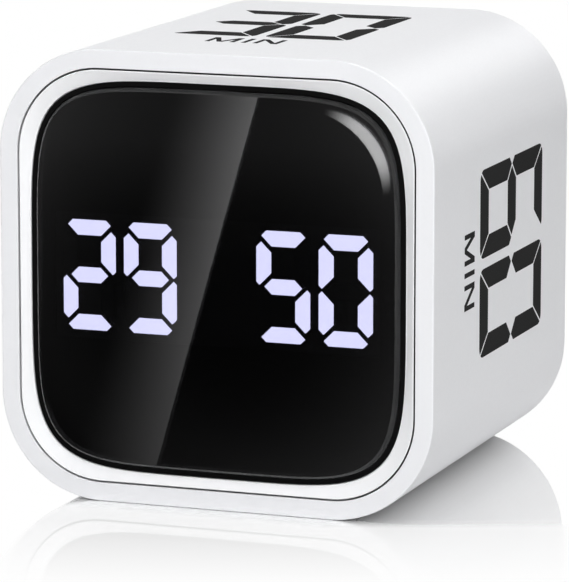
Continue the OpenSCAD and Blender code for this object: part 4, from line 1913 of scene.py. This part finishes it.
@dataclass
class Lamp:
    """Soft square lamp that looks at the middle of the cube."""

    name: str
    azimuth: float
    elevation: float
    power: float
    side: float = 500.0
    use: LampUse = LampUse.LIGHT
    distance: float = 900.0

    def build(self) -> None:
        """Adds the lamp."""
        data = bpy.data.lights.new(self.name, "AREA")
        data.shape = "SQUARE"
        data.size = self.side * MM
        data.energy = self.power
        place = CASE.middle + self.distance * direction(self.azimuth, self.elevation)
        lamp = add_looking(data, place, self.azimuth, self.elevation)
        lamp.visible_glossy = self.use is LampUse.GLINT
        lamp.visible_diffuse = self.use is LampUse.LIGHT


@dataclass
class Floor:
    """White mirror table. For the camera it runs out into white, and keeps a shadow beside the cube."""

    camera: PortraitCamera
    half: float = 800.0
    level: float = -0.02
    colour: Colour = (0.96, 0.96, 0.96)
    roughness: float = 0.01
    gloss_beside: Point = (0.7, 0.36)
    gloss_unseen: float = 0.15
    gloss_reach: Point = (30.0, 46.0)
    gloss_before: Point = (0.19, 0.01)
    unseen_behind: Point = (10.0, 25.0)
    contact: Point = (16.0, FRONT)
    fade: float = 34.0
    edge: float = 5.0
    shadow_right: Point = (16.0, 28.0)
    white_before: Point = (0.66, 1.0)
    white_unseen: float = 0.55
    white_right: Point = (32.0, 80.0)
    corner: float = 14.0
    blur: float = 0.5
    soft: float = 18.0
    hidden_from: Point = (-1.0, 1.0)
    hidden_reach: float = 72.0
    sheet: NodeSheet = field(default_factory=lambda: NodeSheet(bpy.data.materials.new("table")))

    def place(self) -> tuple[Socket, Socket, Socket]:
        """Works out where a place on the table is, in millimetres.

        Returns:
            X and Y of the place, and how far it lies behind the cube's front corner, seen from the camera.
        """
        turn = math.radians(self.camera.azimuth)
        heading = Vector((-math.sin(turn), math.cos(turn), 0))
        place = self.sheet.object_point((1 / MM, 1 / MM, 1 / MM))
        along = self.sheet.vector("DOT_PRODUCT", place, heading)["Value"]
        corner = Vector((*self.contact, 0)).dot(heading)
        return (*self.sheet.split(place), self.sheet.math("SUBTRACT", along, corner))

    def shares(self) -> tuple[Socket, Socket]:
        """Works out the shares of the mirrored light and of the white background.

        Returns:
            Both shares.
        """
        sheet = self.sheet
        across, back, along = self.place()
        behind = sheet.math(
            "MINIMUM",
            sheet.remap(along, (-self.edge, 0), (0, 1), smooth=True),
            sheet.remap(back, (FRONT - self.edge, FRONT), (0, 1), smooth=True),
        )
        unseen = sheet.math(
            "MINIMUM",
            sheet.remap(across, (self.contact[0], 0), (0, 1)),
            sheet.remap(back, (FRONT, CASE.middle.y), (0, 1)),
        )
        first, last = self.unseen_behind
        unseen = sheet.math("MAXIMUM", unseen, sheet.remap(back, (REAR + first, REAR + last), (0, 1)))
        beside = sheet.remap(across, self.gloss_reach, self.gloss_beside)
        beside = sheet.blend(unseen, beside, self.gloss_unseen, "FLOAT")
        fade = (0, -self.fade)
        gloss = sheet.blend(behind, sheet.remap(along, fade, self.gloss_before), beside, "FLOAT")
        before = sheet.math(
            "MAXIMUM",
            sheet.remap(along, fade, self.white_before),
            sheet.remap(across, self.white_right, self.white_before),
        )
        shadow = sheet.remap(across, self.shadow_right, (0, 1), smooth=True)
        white = sheet.blend(behind, before, shadow, "FLOAT")
        around = sheet.blend(self.hidden(across, back), 1.0, self.white_unseen, "FLOAT")
        white = sheet.blend(self.mirrored(across, back), around, white, "FLOAT")
        seen = sheet.add("ShaderNodeLightPath").outputs["Is Camera Ray"]
        return sheet.product(gloss, seen), sheet.product(white, seen)

    def hidden(self, across: Socket, back: Socket) -> Socket:
        """Tells which places of the table lie near the cube's back, hidden from the camera.

        Args:
            across: X of the place.
            back: Y of the place.

        Returns:
            1 at the cube's back, and less further away or towards the hidden part's sides.
        """
        sheet = self.sheet
        lean = math.tan(math.radians(self.camera.azimuth))
        far = sheet.math("SUBTRACT", back, REAR)
        left, right = CASE.low.x - lean * (REAR - FRONT), self.contact[0]
        room = (right - left) / 2
        shifted = sheet.math("ADD", across, sheet.product(far, lean))
        aside = sheet.math("ABSOLUTE", sheet.math("SUBTRACT", shifted, (left + right) / 2))
        return sheet.product(
            sheet.remap(aside, (room - self.soft, room), (1, 0)),
            sheet.remap(far, (0, self.hidden_reach), (1, 0)),
            sheet.remap(far, self.hidden_from, (0, 1)),
        )

    def mirrored(self, across: Socket, back: Socket) -> Socket:
        """Tells which places of the table lie inside the outline of the cube's mirror image.

        Args:
            across: X of the place.
            back: Y of the place.

        Returns:
            1 inside the outline and 0 outside.
        """
        sheet = self.sheet
        turn, tilt = math.radians(self.camera.azimuth), math.radians(self.camera.elevation)
        lean, fall = math.sin(turn) / math.tan(tilt), math.cos(turn) / math.tan(tilt)
        lowest = self.corner * (1 - lean / math.hypot(lean, 1))

        def edge(rim: float, least: float, side: int) -> Socket:
            """Works out where one side of a rim's mirror image lies across the table.

            Args:
                rim: Y of the rim.
                least: lowest height on the rim.
                side: 1 for the right side and -1 for the left one.

            Returns:
                X of that side.
            """
            height = sheet.math("DIVIDE", sheet.math("SUBTRACT", rim, back), fall)
            height = sheet.math("MAXIMUM", height, least)
            bend = sheet.math("MINIMUM", height, self.corner)
            arc = sheet.product(bend, sheet.math("SUBTRACT", 2 * self.corner, bend))
            half = sheet.math("ADD", sheet.math("SQRT", arc), CASE.high.x - self.corner)
            return sheet.math("ADD", sheet.product(half, side), sheet.product(height, lean))

        right = sheet.math("SUBTRACT", edge(REAR, 0, 1), across)
        left = sheet.math("SUBTRACT", across, edge(FRONT, lowest, -1))
        nearer = sheet.math("SUBTRACT", REAR, back)
        inside = sheet.math("MINIMUM", sheet.math("MINIMUM", right, left), nearer)
        return sheet.remap(inside, (-self.blur, self.blur), (0, 1), smooth=True)

    def build(self) -> None:
        """Adds the table top, which is clear when it is seen from below."""
        bpy.ops.object.select_all(action="DESELECT")
        bpy.ops.mesh.primitive_plane_add(size=2 * self.half * MM, location=(0, 0, self.level * MM))
        table = Workpiece("table")
        sheet = self.sheet
        gloss, white = self.shares()
        matt = sheet.add("ShaderNodeBsdfDiffuse", {"Color": opaque(self.colour)}).outputs["BSDF"]
        glow = sheet.add("ShaderNodeEmission").outputs["Emission"]
        inputs = {"Color": opaque(WHITE), "Roughness": self.roughness}
        shine = sheet.add("ShaderNodeBsdfGlossy", inputs).outputs["BSDF"]
        top = sheet.layer(gloss, sheet.layer(white, matt, glow), shine)
        sheet.show(sheet.clear_behind(top))
        table.obj.data.materials.append(sheet.owner)


@dataclass
class WindowCard:
    """Card on the table that only the polished window mirrors: a dark field, a light panel with a
    slanting edge and a small curved light. Its pattern is laid out on the front of the window.
    """

    camera: PortraitCamera
    reach: float = 29.0
    height: float = 0.3
    divisions: int = 40
    edge_top: Point = (6.34, 25.4)
    edge_bottom: Point = (-8.34, -25.4)
    panel_width: float = 12.6
    panel_full: float = 18.0
    panel_light: Point = (0.62, 1.95)
    field_light: Point = (0.02, 0.21)
    field_top: Point = (18.0, 25.0)
    ease: float = 2.0
    rim_light: float = 0.27
    rim_reach: float = 30.0
    rim_power: float = 4.0
    rim_from: Point = (-45.0, -20.0)
    curve_inner: Triple = (12.02, 12.3, 11.05)
    curve_outer: Triple = (14.72, 14.3, 9.45)
    curve_soft: Point = (0.1, 0.25)
    curve_middle: Point = (21.4, 19.8)
    curve_tips: Point = (2.4, 7.3)
    curve_light: float = 9.2
    sheet: NodeSheet = field(default_factory=lambda: NodeSheet(bpy.data.materials.new("window_card")))

    def mirrored(self, across: float, upward: float) -> Vector:
        """Finds the place on the card that the camera sees mirrored at a place of the window.

        Args:
            across: place on the window, to the right of its middle.
            upward: place on the window, above its middle.

        Returns:
            The place on the card.
        """
        spot = Vector((AXIS[0] + across, NodeBox.of("front_lens").low.y, AXIS[1] + upward))
        ray = spot - self.camera.place
        spot += ray * (Lens().sunk / ray.y)
        ray.y = -ray.y
        return spot + ray * ((self.height - spot.z) / ray.z)

    def light(self) -> Socket:
        """Works out how bright the card is, over the window's face.

        Returns:
            The brightness.
        """
        sheet = self.sheet
        ends = (-self.reach, self.reach)
        whole = 2 * self.reach
        spread = sheet.add("ShaderNodeUVMap").outputs["UV"]
        start = (-self.reach, -self.reach, 0)
        place = sheet.vector("MULTIPLY_ADD", spread, (whole, whole, 0), start)["Vector"]
        across, upward = sheet.split(place)
        (top_x, top_z), (low_x, low_z) = self.edge_top, self.edge_bottom
        lean = (top_x - low_x) / (top_z - low_z)
        edge = sheet.remap(upward, ends, tuple(low_x + lean * (z - low_z) for z in ends))
        beside = sheet.math("SUBTRACT", edge, across)
        panel = sheet.product(
            sheet.math("POWER", sheet.remap(beside, (0, self.panel_width), (1, 0)), self.ease),
            sheet.math("GREATER_THAN", beside, 0),
            sheet.remap(upward, (low_z, self.panel_full), self.panel_light),
        )
        outer = sheet.math("DIVIDE", sheet.vector("LENGTH", place)["Value"], self.rim_reach)
        rim = sheet.product(
            sheet.math("POWER", outer, self.rim_power),
            sheet.remap(sheet.math("ADD", across, upward), self.rim_from, (0, 1)),
            self.rim_light,
        )
        height = sheet.product(
            sheet.math("POWER", sheet.remap(upward, (0, top_z), (0, 1)), self.ease),
            sheet.remap(upward, self.field_top, (1, 0)),
        )
        dark = sheet.remap(height, (0, 1), self.field_light)
        total = sheet.math("ADD", panel, sheet.math("ADD", rim, dark))
        return sheet.math("ADD", total, self.curved_light(place))

    def curved_light(self, place: Socket) -> Socket:
        """Works out the light between two arcs in the upper right corner.

        Args:
            place: place on the window's face.

        Returns:
            Its brightness.
        """
        sheet = self.sheet

        def distance(x: float, y: float) -> Socket:
            """Distance from a point of the window's face."""
            return sheet.vector("DISTANCE", place, (x, y, 0))["Value"]

        (*inner_at, inner), (*outer_at, outer) = self.curve_inner, self.curve_outer
        inner_soft, outer_soft = self.curve_soft
        return sheet.product(
            sheet.remap(distance(*inner_at), (inner, inner + inner_soft), (0, 1)),
            sheet.remap(distance(*outer_at), (outer - outer_soft, outer), (1, 0)),
            sheet.remap(distance(*self.curve_middle), self.curve_tips, (self.curve_light, 0), smooth=True),
        )

    def build(self) -> None:
        """Adds the card, which casts no shadow and isn't seen by the camera."""
        bpy.ops.object.select_all(action="DESELECT")
        bpy.ops.mesh.primitive_grid_add(
            x_subdivisions=self.divisions, y_subdivisions=self.divisions, size=2
        )
        card = Workpiece("window_card")
        for vertex in card.obj.data.vertices:
            vertex.co = self.mirrored(vertex.co.x * self.reach, vertex.co.y * self.reach) * MM
        with card.editing():
            bpy.ops.mesh.flip_normals()
        glow = self.sheet.add("ShaderNodeEmission", {"Strength": self.light()})
        self.sheet.show(self.sheet.clear_behind(glow.outputs["Emission"]))
        card.obj.data.materials.append(self.sheet.owner)
        card.obj.visible_camera = False
        card.obj.visible_diffuse = False
        card.obj.visible_shadow = False
        card.obj.visible_volume_scatter = False


@dataclass
class Studio:
    """Plain soft light round the cube on a white table."""

    camera: PortraitCamera
    lamps: tuple[Lamp, ...] = (
        Lamp("key", 29, 45, 4.75),
        Lamp("high", 29, 65, 2.4),
        Lamp("low", 25, 14, 2.0),
        Lamp("overhead", -150, 65, 1.3),
        Lamp("behind_left", -125, 8, 1.7),
        Lamp("behind", -172, 6, 3.0),
        Lamp("glint", 172, 21, 0.36, side=300.0, use=LampUse.GLINT),
    )

    def build(self) -> None:
        """Adds the lamps, the table, the card and a world that is white only where it is seen."""
        sheet = NodeSheet(bpy.data.worlds.new("studio"))
        rays = sheet.add("ShaderNodeLightPath").outputs
        seen = sheet.math("MAXIMUM", rays["Is Camera Ray"], rays["Is Glossy Ray"])
        seen = sheet.math("MAXIMUM", seen, rays["Is Transmission Ray"])
        light = sheet.add("ShaderNodeBackground", {"Color": opaque(WHITE), "Strength": seen})
        sheet.show(light.outputs["Background"])
        bpy.context.scene.world = sheet.owner
        for lamp in self.lamps:
            lamp.build()
        Floor(self.camera).build()
        WindowCard(self.camera).build()
        bpy.context.scene.view_settings.view_transform = "Standard"


def main() -> None:
    """Builds the timer's visible pieces, dresses the rest and sets up the portrait."""
    logging.basicConfig(level=logging.INFO, format="%(name)s: %(message)s")
    camera = PortraitCamera()
    camera.build()
    case = (Shell(), Bezel(), Lens(), RearCover(), RearScrews())
    controls = (SlideKnob(), PushButton(), ChargingSocket())
    for assembly in (*case, *controls, *PRINTS):
        assembly.build()
    dress_inner_pieces()
    Studio(camera).build()


if __name__ == "__main__":
    main()
